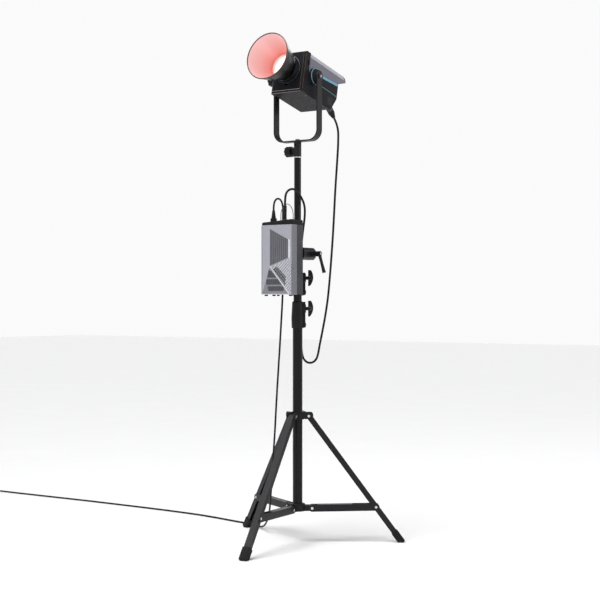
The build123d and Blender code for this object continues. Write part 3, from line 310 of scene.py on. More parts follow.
# Control points of the cords, in millimetres.
UPPER_ROUTE = [
    tuple(PLUG_END / MM), tuple(PLUG_LEAD / MM),
    (46, 203, 1459), (47, 192, 1376), (46.5, 181, 1283), (46.5, 172, 1185), (46, 163, 1089), (44, 153, 996),
]
LOWER_ROUTE = [
    (44, 153, 996), (42, 143, 903), (35.5, 132.5, 823), (27, 121.5, 753), (19.5, 115, 705), (15, 111, 669),
    (10, 101, 650), (2, 84, 642), (-7, 66, 647), (-14, 54, 663), (-18, 50, 703), (-23, 52, 776),
    (-27, 52, 868), (-26, 51, 960), (-20, 50, 1046), (-7, 44, 1120), (11, 31, 1174), (25, 9, 1213),
    (26, -14, 1240), (21, -38, 1264), (17, -61, 1269), (12, -83, 1260), (10, -95, 1240), (10, -95, 1207),
]
FLOOR_Z = 3.6
MAINS_ROUTE = [
    (-39, -95, 1192), (-39, -95, 1213), (-40, -82, 1231), (-42, -60, 1237),
    (-44, -39, 1230), (-46, -26, 1211), (-48, -23, 1175), (-49, -25, 1103), (-46, -26, 992), (-45, -29, 892),
    (-49, -33, 792), (-54, -36, 692), (-59, -40, 592), (-64, -43, 492), (-68, -46, 392), (-73, -50, 300),
    (-82, -46, 216), (-104, -22, 142), (-142, 24, 86), (-192, 78, 42), (-246, 132, 13),
    *[(x, y, FLOOR_Z) for x, y in (
        (-302, 180), (-362, 207), (-446, 222), (-540, 244), (-636, 262), (-736, 271), (-838, 277),
        (-940, 281), (-1042, 283), (-1144, 284), (-1246, 285.5), (-1348, 285), (-1450, 283),
        (-1552, 281.5), (-1652, 279), (-1756, 279), (-1860, 280.5))],
]
COIL_X, COIL_Y, COIL_OUTER, COIL_INNER = -1880.0, 230.0, 50.5, 28.5
COIL_TURNS, TURN_POINTS, LAYER_RISE = 6.25, 14, 6.6
TAIL_X, TAIL_START_Y, TAIL_END_Y, TAIL_Z = -1930.5, 212, 186.0, 10.2
FOLD_Z = 0.69  # metres; below it the head cable's low fold stays with the control unit


def coil_points():
    """Two flat layers of turns, the lower one winding inward and the upper one outward."""
    count = round(COIL_TURNS * TURN_POINTS)
    points = []
    for step in range(count + 1):
        part = step / count
        angle = pi / 2 + 2 * pi * COIL_TURNS * part
        inward = 1 - abs(2 * part - 1)
        radius = COIL_OUTER - (COIL_OUTER - COIL_INNER) * inward
        climb = min(1.0, max(0.0, (part - 0.5) * COIL_TURNS * 4 + 0.5))
        height = FLOOR_Z + LAYER_RISE * climb * climb * (3 - 2 * climb)
        points.append((COIL_X + radius * cos(angle), COIL_Y + radius * sin(angle), height))
    return points


def metres(route):
    """A route in millimetres as points in metres."""
    return [Vector(point) * MM for point in route]


def make_cords():
    """The head cable in three stretches, and the mains cord with its put-away coil."""
    upper = smooth_line(metres(UPPER_ROUTE))
    lower = smooth_line(metres(LOWER_ROUTE))
    low_point = next(index for index, point in enumerate(lower) if point.z < FOLD_Z)
    drop, fold = lower[:low_point + 1], lower[low_point:]
    tail = [(TAIL_X, TAIL_START_Y, TAIL_Z), (TAIL_X, TAIL_END_Y, TAIL_Z)]
    mains = smooth_line(metres(MAINS_ROUTE + coil_points() + tail))
    upper_cable = tube("head_cable_upper_run", upper, HEAD_CABLE_D / 2, JACKET)
    drop_cable = tube("head_cable_drop", drop, HEAD_CABLE_D / 2, JACKET)
    fold_cable = tube("head_cable_fold", fold, HEAD_CABLE_D / 2, JACKET)
    mains_cord = tube("mains_cord_run", mains, MAINS_CORD_D / 2, JACKET, sides=12)
    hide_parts("head_cable_upper")
    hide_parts("head_cable_lower")
    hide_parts("mains_cord", "mains_coil")
    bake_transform(upper_cable)
    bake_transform(drop_cable)
    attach(fold_cable, "top_section")
    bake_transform(mains_cord)


make_cords()


# ---- Mesh helpers ----
NEAR_AXIS = 0.00001


def millimetres(outline, flip=1):
    """An outline or a profile given in millimetres."""
    return [(x * flip / 1000, y / 1000) for x, y in outline]


def rectangle(x0, y0, x1, y1):
    """Corners of a rectangle."""
    return [(x0, y0), (x1, y0), (x1, y1), (x0, y1)]


def mm_box(x0, y0, x1, y1, flip=1):
    """A rectangle given in millimetres."""
    return millimetres(rectangle(x0, y0, x1, y1), flip)


def circle_point(radius, degrees):
    """Point of a circle round the origin."""
    return radius * cos(radians(degrees)), radius * sin(radians(degrees))


def soften(obj, width):
    """Rounded edges, so that they catch the light."""
    modifier = obj.modifiers.new("soft_edges", "BEVEL")
    modifier.width = width
    modifier.segments = 2
    modifier.limit_method = "ANGLE"
    modifier.angle_limit = radians(35)
    return obj


def matrix_at(origin, normal, across):
    """Matrix whose z is the normal and whose x is the direction given."""
    z = Vector(normal).normalized()
    x = Vector(across)
    x = (x - z * x.dot(z)).normalized()
    y = z.cross(x)
    return Matrix.Translation(origin) @ Matrix((x, y, z)).transposed().to_4x4()


def facing(point, normal):
    """Matrix at a point whose z is a normal, with any steady direction across it."""
    return matrix_at(point, normal, (0, 0, 1) if abs(Vector(normal).normalized().z) < 0.9 else (1, 0, 0))


def prism_into(mesh, outline, matrix, low, high):
    """Add a prism to a bmesh: an outline in the matrix's plane, from low to high along its z."""
    bottom = [mesh.verts.new(matrix @ Vector((x, y, low))) for x, y in outline]
    top = [mesh.verts.new(matrix @ Vector((x, y, high))) for x, y in outline]
    mesh.faces.new(list(reversed(bottom)))
    mesh.faces.new(top)
    count = len(outline)
    for index in range(count):
        following = (index + 1) % count
        mesh.faces.new((bottom[index], bottom[following], top[following], top[index]))


def plates(name, outlines, matrix, low, high, material, edge=0.0003):
    """One piece made of several prisms that share a plane; all sizes in metres."""
    mesh = bmesh.new()
    for outline in outlines:
        area = sum(a[0] * b[1] - b[0] * a[1] for a, b in zip(outline, outline[1:] + outline[:1]))
        prism_into(mesh, outline if area > 0 else outline[::-1], matrix, low, high)
    bmesh.ops.recalc_face_normals(mesh, faces=mesh.faces)
    data = bpy.data.meshes.new(name)
    mesh.to_mesh(data)
    mesh.free()
    return soften(new_object(name, data, material), edge)


def lathe(name, profile, matrix, material, sides=48, wobble=None):
    """Turned piece: a closed profile of (radius, height) about z; wobble may change a radius."""
    mesh = bpy.data.meshes.new(name)
    vertices, faces = [], []
    count = len(profile)
    for step in range(sides):
        angle = 2 * pi * step / sides
        for index, (radius, height) in enumerate(profile):
            size = wobble(index, angle, radius) if wobble else radius
            vertices.append(matrix @ Vector((size * cos(angle), size * sin(angle), height)))
    for step in range(sides):
        following = (step + 1) % sides
        for index in range(count):
            after = (index + 1) % count
            faces.append((step * count + index, following * count + index,
                          following * count + after, step * count + after))
    mesh.from_pydata(vertices, [], faces)
    work = bmesh.new()
    work.from_mesh(mesh)
    bmesh.ops.remove_doubles(work, verts=work.verts, dist=1e-7)
    bmesh.ops.recalc_face_normals(work, faces=work.faces)
    work.to_mesh(mesh)
    work.free()
    for polygon in mesh.polygons:
        polygon.use_smooth = True
    obj = new_object(name, mesh, material)
    sharp = obj.modifiers.new("edges", "EDGE_SPLIT")
    sharp.split_angle = radians(38)
    return obj


def dome(radius, height, steps=5):
    """Profile of a low domed head standing on z = 0."""
    points = [(NEAR_AXIS, 0.0), (radius, 0.0), (radius, height * 0.35)]
    for step in range(1, steps + 1):
        angle = pi / 2 * step / steps
        points.append((max(NEAR_AXIS, radius * cos(angle)), height * (0.35 + 0.65 * sin(angle))))
    return points


def join(name, objects):
    """Join several meshes into one named piece."""
    with bpy.context.temp_override(active_object=objects[0], selected_editable_objects=objects):
        bpy.ops.object.join()
    objects[0].name = name
    objects[0].data.name = name
    return objects[0]


def place(piece, body="head"):
    """The piece rides on a body."""
    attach(piece, body)
    return piece


def paint(material, *nodes, edge=0.0006):
    """Give CAD nodes a material and softened edges."""
    for name in nodes:
        obj = NODES[name]
        if not obj.material_slots:
            obj.data.materials.append(material)
        for material_slot in obj.material_slots:
            material_slot.material = material
        if edge:
            soften(obj, edge)


# ---- CAD nodes: materials ----
NUMBERS = (1, 2, 3)
paint(TUBE_PAINT, "lower_tube", "mid_tube", "top_tube", edge=0)
paint(POWDER_COAT, "yoke_bracket", "yoke_receiver", *[f"leg_{n}" for n in NUMBERS],
      *[f"spreader_arm_{n}" for n in NUMBERS], edge=0.0005)
paint(MOULDED, "spreader_hub", "leg_collar", "leg_collar_knob", "lower_clamp", "upper_clamp",
      "lower_clamp_knob", "upper_clamp_knob", "receiver_knob", "tilt_knob", "clamp_lever", edge=0.0008)
paint(ALLOY, "clamp_body", "clamp_jaw", "heat_sink", edge=0.0006)
paint(RING_BLACK, "bayonet_ring", edge=0.0006)
paint(SHELL_BLACK, "lower_shell", "front_bezel", "side_bosses", "unit_top_cap", edge=0.0008)
paint(SHELL_GREY, "unit_rear_shell", edge=0.0008)
paint(MOULDED, "rear_panel", "dial", "menu_button", "power_button", "bayonet_release", "fan_frame",
      "fan_rotor", "head_plug", "unit_plug", "mains_connector", "mains_plug", edge=0.0004)
paint(SILVER, "top_cover", edge=0.0008)
paint(LIGHT_PANEL, "unit_front_cover", edge=0.0008)
paint(RUBBER, *[f"foot_{n}" for n in NUMBERS], edge=0.001)
paint(STEEL, "leg_pins", "hub_pins", "spigot", edge=0.0006)
paint(DARK_STEEL, "yoke_bolts", edge=0.0006)
paint(BOARD, "led_board", "driver_board", "unit_board", edge=0.0003)
paint(GLASS_BLACK, "display", edge=0.0003)


# ---- Reflector: rolled rim, hammered bowl with painted glow inside, painted shade and highlight outside ----
LIGHT_AXIS = matrix_at(head_point(0, 0, LIGHT_AXIS_UP), -BACKWARD, RIGHT)
BOWL_STEPS, BOWL_SHEET, BOWL_COLUMNS = 60, 1.4, 168
DIMPLE_OUT, DIMPLE_IN = 0.00022, -0.00008
RIM_R, RIM_FRONT, BEAD_R = 83.7, 197.6, 2.1


def bowl_outside():
    """Radius of the bowl's outer face at each distance in front of the tilt axis, rim last (mm)."""
    (x1, y1), (x2, y2), (x3, y3) = (97, 46.4), (146, 70), (198, 84)
    a, b = 2 * (x2 - x1), 2 * (y2 - y1)
    c = x2 * x2 + y2 * y2 - x1 * x1 - y1 * y1
    d, e = 2 * (x3 - x1), 2 * (y3 - y1)
    g = x3 * x3 + y3 * y3 - x1 * x1 - y1 * y1
    centre_x = (c * e - b * g) / (a * e - b * d)
    centre_y = (a * g - c * d) / (a * e - b * d)
    radius = hypot(x1 - centre_x, y1 - centre_y)
    points = []
    for step in range(BOWL_STEPS + 1):
        x = x1 + (x3 - x1) * step / BOWL_STEPS
        points.append((centre_y + sqrt(radius ** 2 - (x - centre_x) ** 2), x))
    return points


def make_reflector():
    """Hammered bowl with a rolled rim and a dark locking band at its neck."""
    outer = bowl_outside()
    inner = [(radius - BOWL_SHEET, x) for radius, x in outer]
    bowl = millimetres([(45.0, 84.0), (45.0, 90.0)] + inner + outer[::-2] + [(46.4, 84.0)])

    def hammered(index, angle, radius):
        step = round(angle / (2 * pi) * BOWL_COLUMNS)
        if 5 < index < BOWL_STEPS:
            return radius + (DIMPLE_OUT if (step // 2 + index // 2) % 2 else DIMPLE_IN)
        return radius

    metal_bowl = lathe("reflector_bowl", bowl, LIGHT_AXIS, BOWL_PAINTED_LIGHT, BOWL_COLUMNS, hammered)
    place(metal_bowl, "reflector")
    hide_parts("reflector")
    bead = []
    for angle in range(0, 360, 30):
        out, ahead = circle_point(BEAD_R, angle)
        bead.append((RIM_R + out, RIM_FRONT + ahead))
    place(lathe("reflector_rim", millimetres(bead), LIGHT_AXIS, RIM_GREY, 120), "reflector")
    band = millimetres([(46.3, 86.5), (46.9, 86.5), (47.1, 89.0), (46.9, 91.5), (46.3, 91.5)])
    place(lathe("reflector_neck_band", band, LIGHT_AXIS, DARK_STEEL, 96), "reflector")


def span(tree, value, low, high):
    """0 to 1 as a value goes from low to high."""
    return add(tree, "MapRange", Value=value, From_Min=low, From_Max=high).outputs["Result"]


def axis_ramp(tree, near, far, stops):
    """Colours by distance in front of the tilt axis along the light's axis, in metres."""
    source = add(tree, "TexCoord")
    along = add(tree, "VectorMath", source.outputs["Object"], -BACKWARD, operation="DOT_PRODUCT")
    rest = -BACKWARD.dot(Vector((0, 0, TILT_Z)))
    return ramp(tree, span(tree, along.outputs["Value"], near + rest, far + rest), stops)


def glow(material, stops, strength, near, far):
    """Light given off by a surface, coloured by the distance along the light's axis; on the lens it is the
    lamp's own light, on the bowl and the well sleeve it is painted light.
    """
    tree = material.node_tree
    shader = tree.nodes["Principled BSDF"]
    tree.links.new(axis_ramp(tree, near, far, stops), shader.inputs["Emission Color"])
    shader.inputs["Emission Strength"].default_value = strength
    return material


def paint_bowl_glow_and_shade(material):
    """Keeps the painted glow to the faces that look towards the light's axis, and paints the other faces dark
    with a painted highlight.
    """
    tree = material.node_tree
    shader = tree.nodes["Principled BSDF"]
    geometry, source = add(tree, "NewGeometry"), add(tree, "TexCoord")
    away = add(tree, "VectorMath", source.outputs["Object"], head_point(0, -0.3, LIGHT_AXIS_UP),
               operation="SUBTRACT")
    turned = add(tree, "VectorTransform", geometry.outputs["Normal"])
    turned.vector_type = "NORMAL"
    turned.convert_from, turned.convert_to = "WORLD", "OBJECT"
    normal = turned.outputs["Vector"]
    dot = add(tree, "VectorMath", away.outputs["Vector"], normal, operation="DOT_PRODUCT")
    inside = add(tree, "Math", dot.outputs["Value"], 0.0, operation="LESS_THAN").outputs["Value"]
    strength = shader.inputs["Emission Strength"].default_value
    glowing = add(tree, "Math", inside, strength, operation="MULTIPLY").outputs["Value"]
    feed(tree, shader.inputs["Emission Strength"], glowing)
    # The hammered cells catch the painted glow unevenly: it is weaker in their hollows.
    cells = ramp(tree, geometry.outputs["Pointiness"], [(0.485, 0.80), (0.515, 1.0)])
    lit = mix(tree, 1.0, shader.inputs["Emission Color"].links[0].from_socket, cells, "MULTIPLY")
    feed(tree, shader.inputs["Emission Color"], lit)
    # Outside, the polished sheet is painted dark as if in shade, with a painted highlight where its faces
    # turn up and to the right.
    highlight_facing = add(tree, "VectorMath", normal, Vector((0.58, 0.0, 0.81)), operation="DOT_PRODUCT")
    outside = ramp(tree, highlight_facing.outputs["Value"], [(0.60, 0.012), (0.68, 0.25), (0.75, 0.9)])
    tone = mix(tree, inside, outside, shader.inputs["Base Color"].links[0].from_socket)
    feed(tree, shader.inputs["Base Color"], tone)


# Painted light: the bowl is no lamp. Its inner glow stands in for the lamp's light reflected in it: bright
# pink at the throat, then a dark red ring, then salmon growing paler towards the rim.
BOWL_PAINTED_LIGHT = surface("bowl_metal_painted_light", (0.23, 0.17, 0.17), 0.34, 0.75, grain=900, mottle=0.06)
glow(BOWL_PAINTED_LIGHT, [(0.0, (1.0, 0.42, 0.36)), (0.085, (1.0, 0.34, 0.28)), (0.105, (0.4, 0.03, 0.03)),
                  (0.13, (0.7, 0.1, 0.08)), (0.2, (0.86, 0.22, 0.18)), (0.45, (0.90, 0.38, 0.35)),
                  (1.0, (0.93, 0.60, 0.59))], 0.85, 0.084, 0.198)
paint_bowl_glow_and_shade(BOWL_PAINTED_LIGHT)
RIM_GREY = surface("rim_grey", (0.10, 0.075, 0.08), 0.3, 0.8, grain=1200, worn=(0.4, 0.4, 0.4))
LENS = surface("lens", (0.95, 0.9, 0.88), 0.08, grain=400, grain_depth=0.00002, mottle=0.03)
glow(LENS, [(0.0, (1.0, 0.25, 0.12)), (0.5, (1.0, 0.6, 0.45)), (1.0, (1.0, 0.93, 0.88))], 1.0, 0.037, 0.053)
paint(LENS, "led_lens", edge=0)
make_reflector()


# ---- Control unit: patterned front, feet and hanging loop ----
PANEL_GREY = surface("panel_grey", (0.075, 0.075, 0.087), 0.42, 0.3, grain=2000, mottle=0.08, worn=(0.3,
                     0.3, 0.33))
RIB_GREY = surface("rib_grey", (0.12, 0.12, 0.137), 0.4, 0.3, grain=2200, mottle=0.08, worn=(0.4, 0.4, 0.42))
TRIANGLE_GREY = surface("triangle_grey", (0.19, 0.19, 0.215), 0.42, 0.3, grain=2200, mottle=0.07,
                        worn=(0.5, 0.5, 0.54))
HATCH_GREY = surface("hatch_grey", (0.22, 0.22, 0.25), 0.4, 0.2, grain=2200, mottle=0.07, worn=(0.55, 0.55,
                     0.6))
SLOT_DARK = surface("slot_dark", (0.03, 0.03, 0.034), 0.6, 0.1, grain=1500, mottle=0.2, worn=(0.08, 0.08,
                    0.08))
BRIGHT_LINE = surface("bright_line", (0.55, 0.55, 0.6), 0.3, 0.3, grain=1800, mottle=0.05,
                      worn=(0.85, 0.85, 0.88))
UNIT_X, UNIT_FRONT, UNIT_BASE = 0.065, -0.134, 0.892
UNIT_WIDE, UNIT_TALL = 0.130, 0.245
SIDE_MIDDLE_Z = UNIT_BASE + UNIT_TALL / 2
LOOP_X, LOOP_Y, LOOP_WIRE_R, LOOP_STEPS = 0.0015, -0.070, 0.0014, 40


def on_face(*corners):
    """Outline on the unit's front, its corners given as fractions of the width and the height."""
    return [(fx * UNIT_WIDE, fz * UNIT_TALL) for fx, fz in corners]


def clip(polygon, a, b, c):
    """The part of a polygon where a*x + b*y <= c."""
    result = []
    for first, second in zip(polygon, polygon[1:] + polygon[:1]):
        one = a * first[0] + b * first[1] - c
        two = a * second[0] + b * second[1] - c
        if one <= 0:
            result.append(first)
        if one * two < 0:
            share = one / (one - two)
            result.append(tuple(p + (q - p) * share for p, q in zip(first, second)))
    return result


def stripes(polygon, angle, pitch, width):
    """The polygon cut into parallel stripes that run at an angle in degrees."""
    run = radians(angle)
    a, b = -sin(run), cos(run)
    reach = [a * x + b * y for x, y in polygon]
    result = []
    position = min(reach) + pitch * 0.5
    while position < max(reach):
        stripe = clip(clip(polygon, a, b, position + width / 2), -a, -b, -(position - width / 2))
        if len(stripe) >= 3:
            result.append(stripe)
        position += pitch
    return result


def make_unit_front():
    """Ribbed, hatched and meshed fields of the control unit's front."""
    matrix = matrix_at((-UNIT_X, UNIT_FRONT, UNIT_BASE), (0, -1, 0), (1, 0, 0))
    field = on_face((0.285, 0.945), (0.875, 0.79), (0.875, 0.525), (0.285, 0.415))
    hatch = on_face((0.30, 0.395), (0.885, 0.505), (0.985, 0.48), (0.985, 0.02), (0.925, 0.02))
    triangle = on_face((0.275, 0.395), (0.03, 0.012), (0.90, 0.012))
    vent = on_face((0.385, 0.365), (0.53, 0.40), (0.81, 0.255), (0.785, 0.125))
    bands = [on_face((0.245, 0.355), (0.345, 0.335), (0.50, 0.245), (0.20, 0.245)),
             on_face((0.175, 0.222), (0.54, 0.222), (0.70, 0.143), (0.165, 0.143)),
             on_face((0.215, 0.120), (0.745, 0.120), (0.745, 0.052), (0.235, 0.052))]
    line = on_face((0.272, 0.402), (0.292, 0.408), (0.925, 0.018), (0.895, 0.012))
    bevel = on_face((0.895, 0.53), (0.955, 0.50), (0.955, 0.775), (0.895, 0.795))
    pieces = [
        ("unit_rib_field", [field], 0.0002, PANEL_GREY),
        ("unit_ribs", stripes(field, 90, 0.0084, 0.0036), 0.0009, RIB_GREY),
        ("unit_hatch_field", [hatch], 0.0003, HATCH_GREY),
        ("unit_hatch_lines", stripes(hatch, 45, 0.0080, 0.0030), 0.0008, BRIGHT_LINE),
        ("unit_triangle", [triangle], 0.0003, TRIANGLE_GREY),
        ("unit_bands", bands, 0.0006, PANEL_GREY),
        ("unit_band_slots", [slot for band in bands for slot in stripes(band, 90, 0.0044, 0.0016)], 0.0009,
         SLOT_DARK),
        ("unit_vent", [vent], 0.0009, SLOT_DARK),
        ("unit_vent_mesh", stripes(vent, 45, 0.0080, 0.0014) + stripes(vent, -45, 0.0080, 0.0014), 0.0013,
         HATCH_GREY),
        ("unit_bright_line", [line], 0.0012, BRIGHT_LINE),
        ("unit_bright_bevel", [bevel], 0.0012, BRIGHT_LINE),
    ]
    for name, outlines, high, material in pieces:
        place(plates(name, outlines, matrix, -0.0004, high, material, 0.0001), "top_section")
    rail = [rectangle(0.0, 0.0, UNIT_WIDE, 0.0026)]
    place(plates("unit_foot_rail", rail, matrix, -0.004, 0.0008, BRIGHT_LINE, 0.0004), "top_section")


def make_unit_trim():
    """Rubber feet, side vents and the wire loop the unit hangs by."""
    under = UNIT_BASE + 0.0002
    feet = [((x, y, under), 0.0062) for x in (-0.052, 0.052) for y in (-0.122, -0.074)]
    feet.append(((0.0, -0.122, under), 0.005))
    profile = [(NEAR_AXIS, 0.0), (0.85, 0.0), (1.0, 0.0012), (1.0, 0.004), (0.8, 0.0052), (NEAR_AXIS, 0.0052)]
    parts = []
    for index, (spot, radius) in enumerate(feet):
        turned = [(r * radius if r > NEAR_AXIS else r, z) for r, z in profile]
        parts.append(lathe(f"foot_{index}", turned, matrix_at(spot, (0, 0, -1), (1, 0, 0)), RUBBER, 28))
    place(join("unit_feet", parts), "top_section")
    arch = []
    for step in range(LOOP_STEPS + 1):
        angle = pi * step / LOOP_STEPS
        arch.append(Vector((LOOP_X - 0.0265 * cos(angle), LOOP_Y, 1.172 + 0.042 * sin(angle))))
    loop = [Vector((-0.025, LOOP_Y, 1.1485))] + arch + [Vector((0.028, LOOP_Y, 1.1525))]
    place(tube("unit_hanging_loop", loop, LOOP_WIRE_R, DARK_STEEL, 10), "top_section")
    for side, label in ((-1, "left"), (1, "right")):
        cheek = [rectangle(-0.0150, -0.1215, 0.0150, 0.1215)]
        levels = [-0.052 + 0.0058 * n for n in range(19)]
        slots = [rectangle(-0.013, z - 0.0011, 0.013, z + 0.0011) for z in levels]
        front, middle = (matrix_at((side * UNIT_X, y, SIDE_MIDDLE_Z), (side, 0, 0), (0, side, 0))
                         for y in (-0.1175, -0.081))
        # Painted shade: the sides of the front cover are given a darker grey than its front, as if in shade.
        place(plates(f"unit_cheek_shade_{label}", cheek, front, -0.0004, 0.0004, CHEEK_SHADE_GREY, 0.0003), "top_section")
        place(plates(f"unit_side_slots_{label}", slots, middle, -0.0004, 0.0005, SLOT_DARK, 0.0002),
              "top_section")


def make_screws(name, spots, body, material, radius=0.0024, height=0.0012):
    """Domed screws with a hex socket, each at a point with the direction it faces."""
    parts = []
    for index, (point, normal) in enumerate(spots):
        matrix = facing(point, normal)
        parts.append(lathe(f"{name}_{index}", dome(radius, height), matrix, material, 24))
        socket = [circle_point(radius * 0.42, 60 * n) for n in range(6)]
        parts.append(plates(f"{name}_{index}_socket", [socket], matrix, height * 0.7, height * 1.03,
                            SLOT_DARK, 0))
    return place(join(name, parts), body)


make_unit_front()
make_unit_trim()
CAP_SLOPE = 9 / 130
CAP_MIDDLE_Z = 1.1515
cap_spots = [((x, y, CAP_MIDDLE_Z + x * CAP_SLOPE), (-CAP_SLOPE, 0, 1))
             for x in (-0.056, 0.056) for y in (-0.126, -0.068)]
make_screws("unit_screws", cap_spots, "top_section", DARK_STEEL)


# ---- Head: trim, screws, vents, rear controls ----
# Painted highlight: a lighter copy of the head cover's silver, for its slanted edge.
CHAMFER_HIGHLIGHT_SILVER = surface("chamfer_silver_painted_highlight", (0.40, 0.39, 0.43), 0.5, 0.1, grain=2400, mottle=0.06,
                         worn=(0.75, 0.75, 0.8), coat=0.2)
TEAL_LINE = surface("teal_line", (0.10, 0.30, 0.33), 0.4, 0.1, grain=1600, mottle=0.1, worn=(0.3, 0.5, 0.5))
SCREEN_LIGHT = surface("screen_light", (0.2, 0.5, 0.6), 0.3, grain=1600, mottle=0.1)
screen_inputs = SCREEN_LIGHT.node_tree.nodes["Principled BSDF"].inputs
screen_inputs["Emission Color"].default_value = (0.25, 0.7, 0.9, 1)
screen_inputs["Emission Strength"].default_value = 0.9
# Painted light: the sleeve and floor round the lens are no lamp; their glow stands in for the lamp's light
# inside the neck.
WELL_PAINTED_GLOW = surface("well_painted_glow", (0.9, 0.8, 0.78), 0.5, grain=700, mottle=0.05)
glow(WELL_PAINTED_GLOW, [(0.0, (1.0, 0.78, 0.7)), (0.6, (1.0, 0.86, 0.8)), (1.0, (1.0, 0.4, 0.33))],
     0.85, 0.053, 0.084)
BAND_BLUE = surface("band_blue", (0.022, 0.033, 0.047), 0.28, 0.6, grain=1200, mottle=0.15, worn=(0.05,
                    0.07, 0.09))
# Painted highlights for the edges of the bezel's chamfers.
LIP_HIGHLIGHT_GREY = surface("lip_painted_highlight", (0.20, 0.185, 0.185), 0.4, 0.2, grain=1500, mottle=0.1, worn=(0.4, 0.38, 0.38))
LINE_HIGHLIGHT_BROWN = surface("line_painted_highlight_brown", (0.07, 0.045, 0.04), 0.4, 0.2, grain=1500, mottle=0.1, worn=(0.2, 0.15,
                     0.14))
HALF_WIDE, BODY_BACK, PANEL_BACK, BODY_UNDER = 0.067, 0.166, 0.168, -0.074
SIDES = ((1, "right"), (-1, "left"))
DIAL_SIDES = 96


def side_matrix(side):
    """Plane of one side of the head: x runs backwards (mirrored on the left side), y up, z outwards."""
    return matrix_at(head_point(side * HALF_WIDE, 0, 0), RIGHT * side, BACKWARD * side)


def rear_matrix(back):
    """Plane facing backwards: x runs to the head's left, y up."""
    return matrix_at(head_point(0, back, 0), BACKWARD, -RIGHT)


def make_side_trim():
    """Blue strip under the cover, teal line, slots, seam, boss ring and a painted highlight on the cover's
    slanted edge.
    """
    for side, label in SIDES:
        matrix = side_matrix(side)
        strip = millimetres([(-29, 19.4), (164.5, 33.2), (162, 23.0), (-29, 9.6)], side)
        place(plates(f"blue_strip_{label}", [strip], matrix, -0.0006, 0.0008, BLUE_TRIM, 0.0004), "head")
        line = millimetres([(34, -12.6), (163, -15.2), (163, -16.6), (34, -14.0)], side)
        place(plates(f"teal_line_{label}", [line], matrix, -0.0005, 0.0005, TEAL_LINE, 0.0001), "head")
        grooves = [mm_box(b, -60, b + 1.6, -34, side) for b in range(108, 140, 5)]
        place(plates(f"side_slots_{label}", grooves, matrix, -0.0005, 0.0004, SLOT_DARK, 0.0002))
        seam = millimetres([(-30, 20.6), (165, 34.6), (165, 33.7), (-30, 19.7)], side)
        place(plates(f"cover_seam_{label}", [seam], matrix, -0.0005, 0.0003, SLOT_DARK, 0))
        ring = millimetres([(27.0, 78.0), (29.5, 78.0), (29.5, 79.2), (28.9, 79.8), (27.4, 79.8),
                            (27.0, 79.4)])
        axis = matrix_at(Vector((0, 0, TILT_Z)), RIGHT * side, BACKWARD)
        place(lathe(f"boss_ring_{label}", ring, axis, BLUE_TRIM, 96), "head")
        # Painted highlight: the cover's slanted edge is given lighter silver, as where it catches the light
        # from above.
        facet = matrix_at(head_point(side * 0.0645, 0, 0.069), RIGHT * (16 * side) + UPWARD * 5,
                          BACKWARD * side)
        edge = mm_box(-30, -7.8, 200, 7.8, side)
        place(plates(f"cover_facet_highlight_{label}", [edge], facet, -0.0004, 0.0005, CHAMFER_HIGHLIGHT_SILVER, 0.0003), "head")


def make_bezel_trim():
    """Painted highlights where the bezel's chamfers catch the light: two bright lines along its lower edge
    and two thin lighter lines down each side of it.
    """
    below = matrix_at(head_point(0, -0.0595, -0.0695), -BACKWARD - UPWARD, RIGHT)
    lips = [mm_box(-60, y - 0.9, 60, y + 0.9) for y in (-4.4, 4.4)]
    place(plates("bezel_lip_highlights", lips, below, -0.0004, 0.0005, LIP_HIGHLIGHT_GREY, 0.0002), "head")
    for side, label in SIDES:
        edge = matrix_at(head_point(side * 0.0625, -0.0595, 0.0015), RIGHT * side - BACKWARD, UPWARD)
        line = [mm_box(-66, -4.9, 66, -3.7), mm_box(-66, 3.7, 66, 4.9)]
        place(plates(f"bezel_highlight_line_{label}", line, edge, -0.0004, 0.0005, LINE_HIGHLIGHT_BROWN, 0.0002))


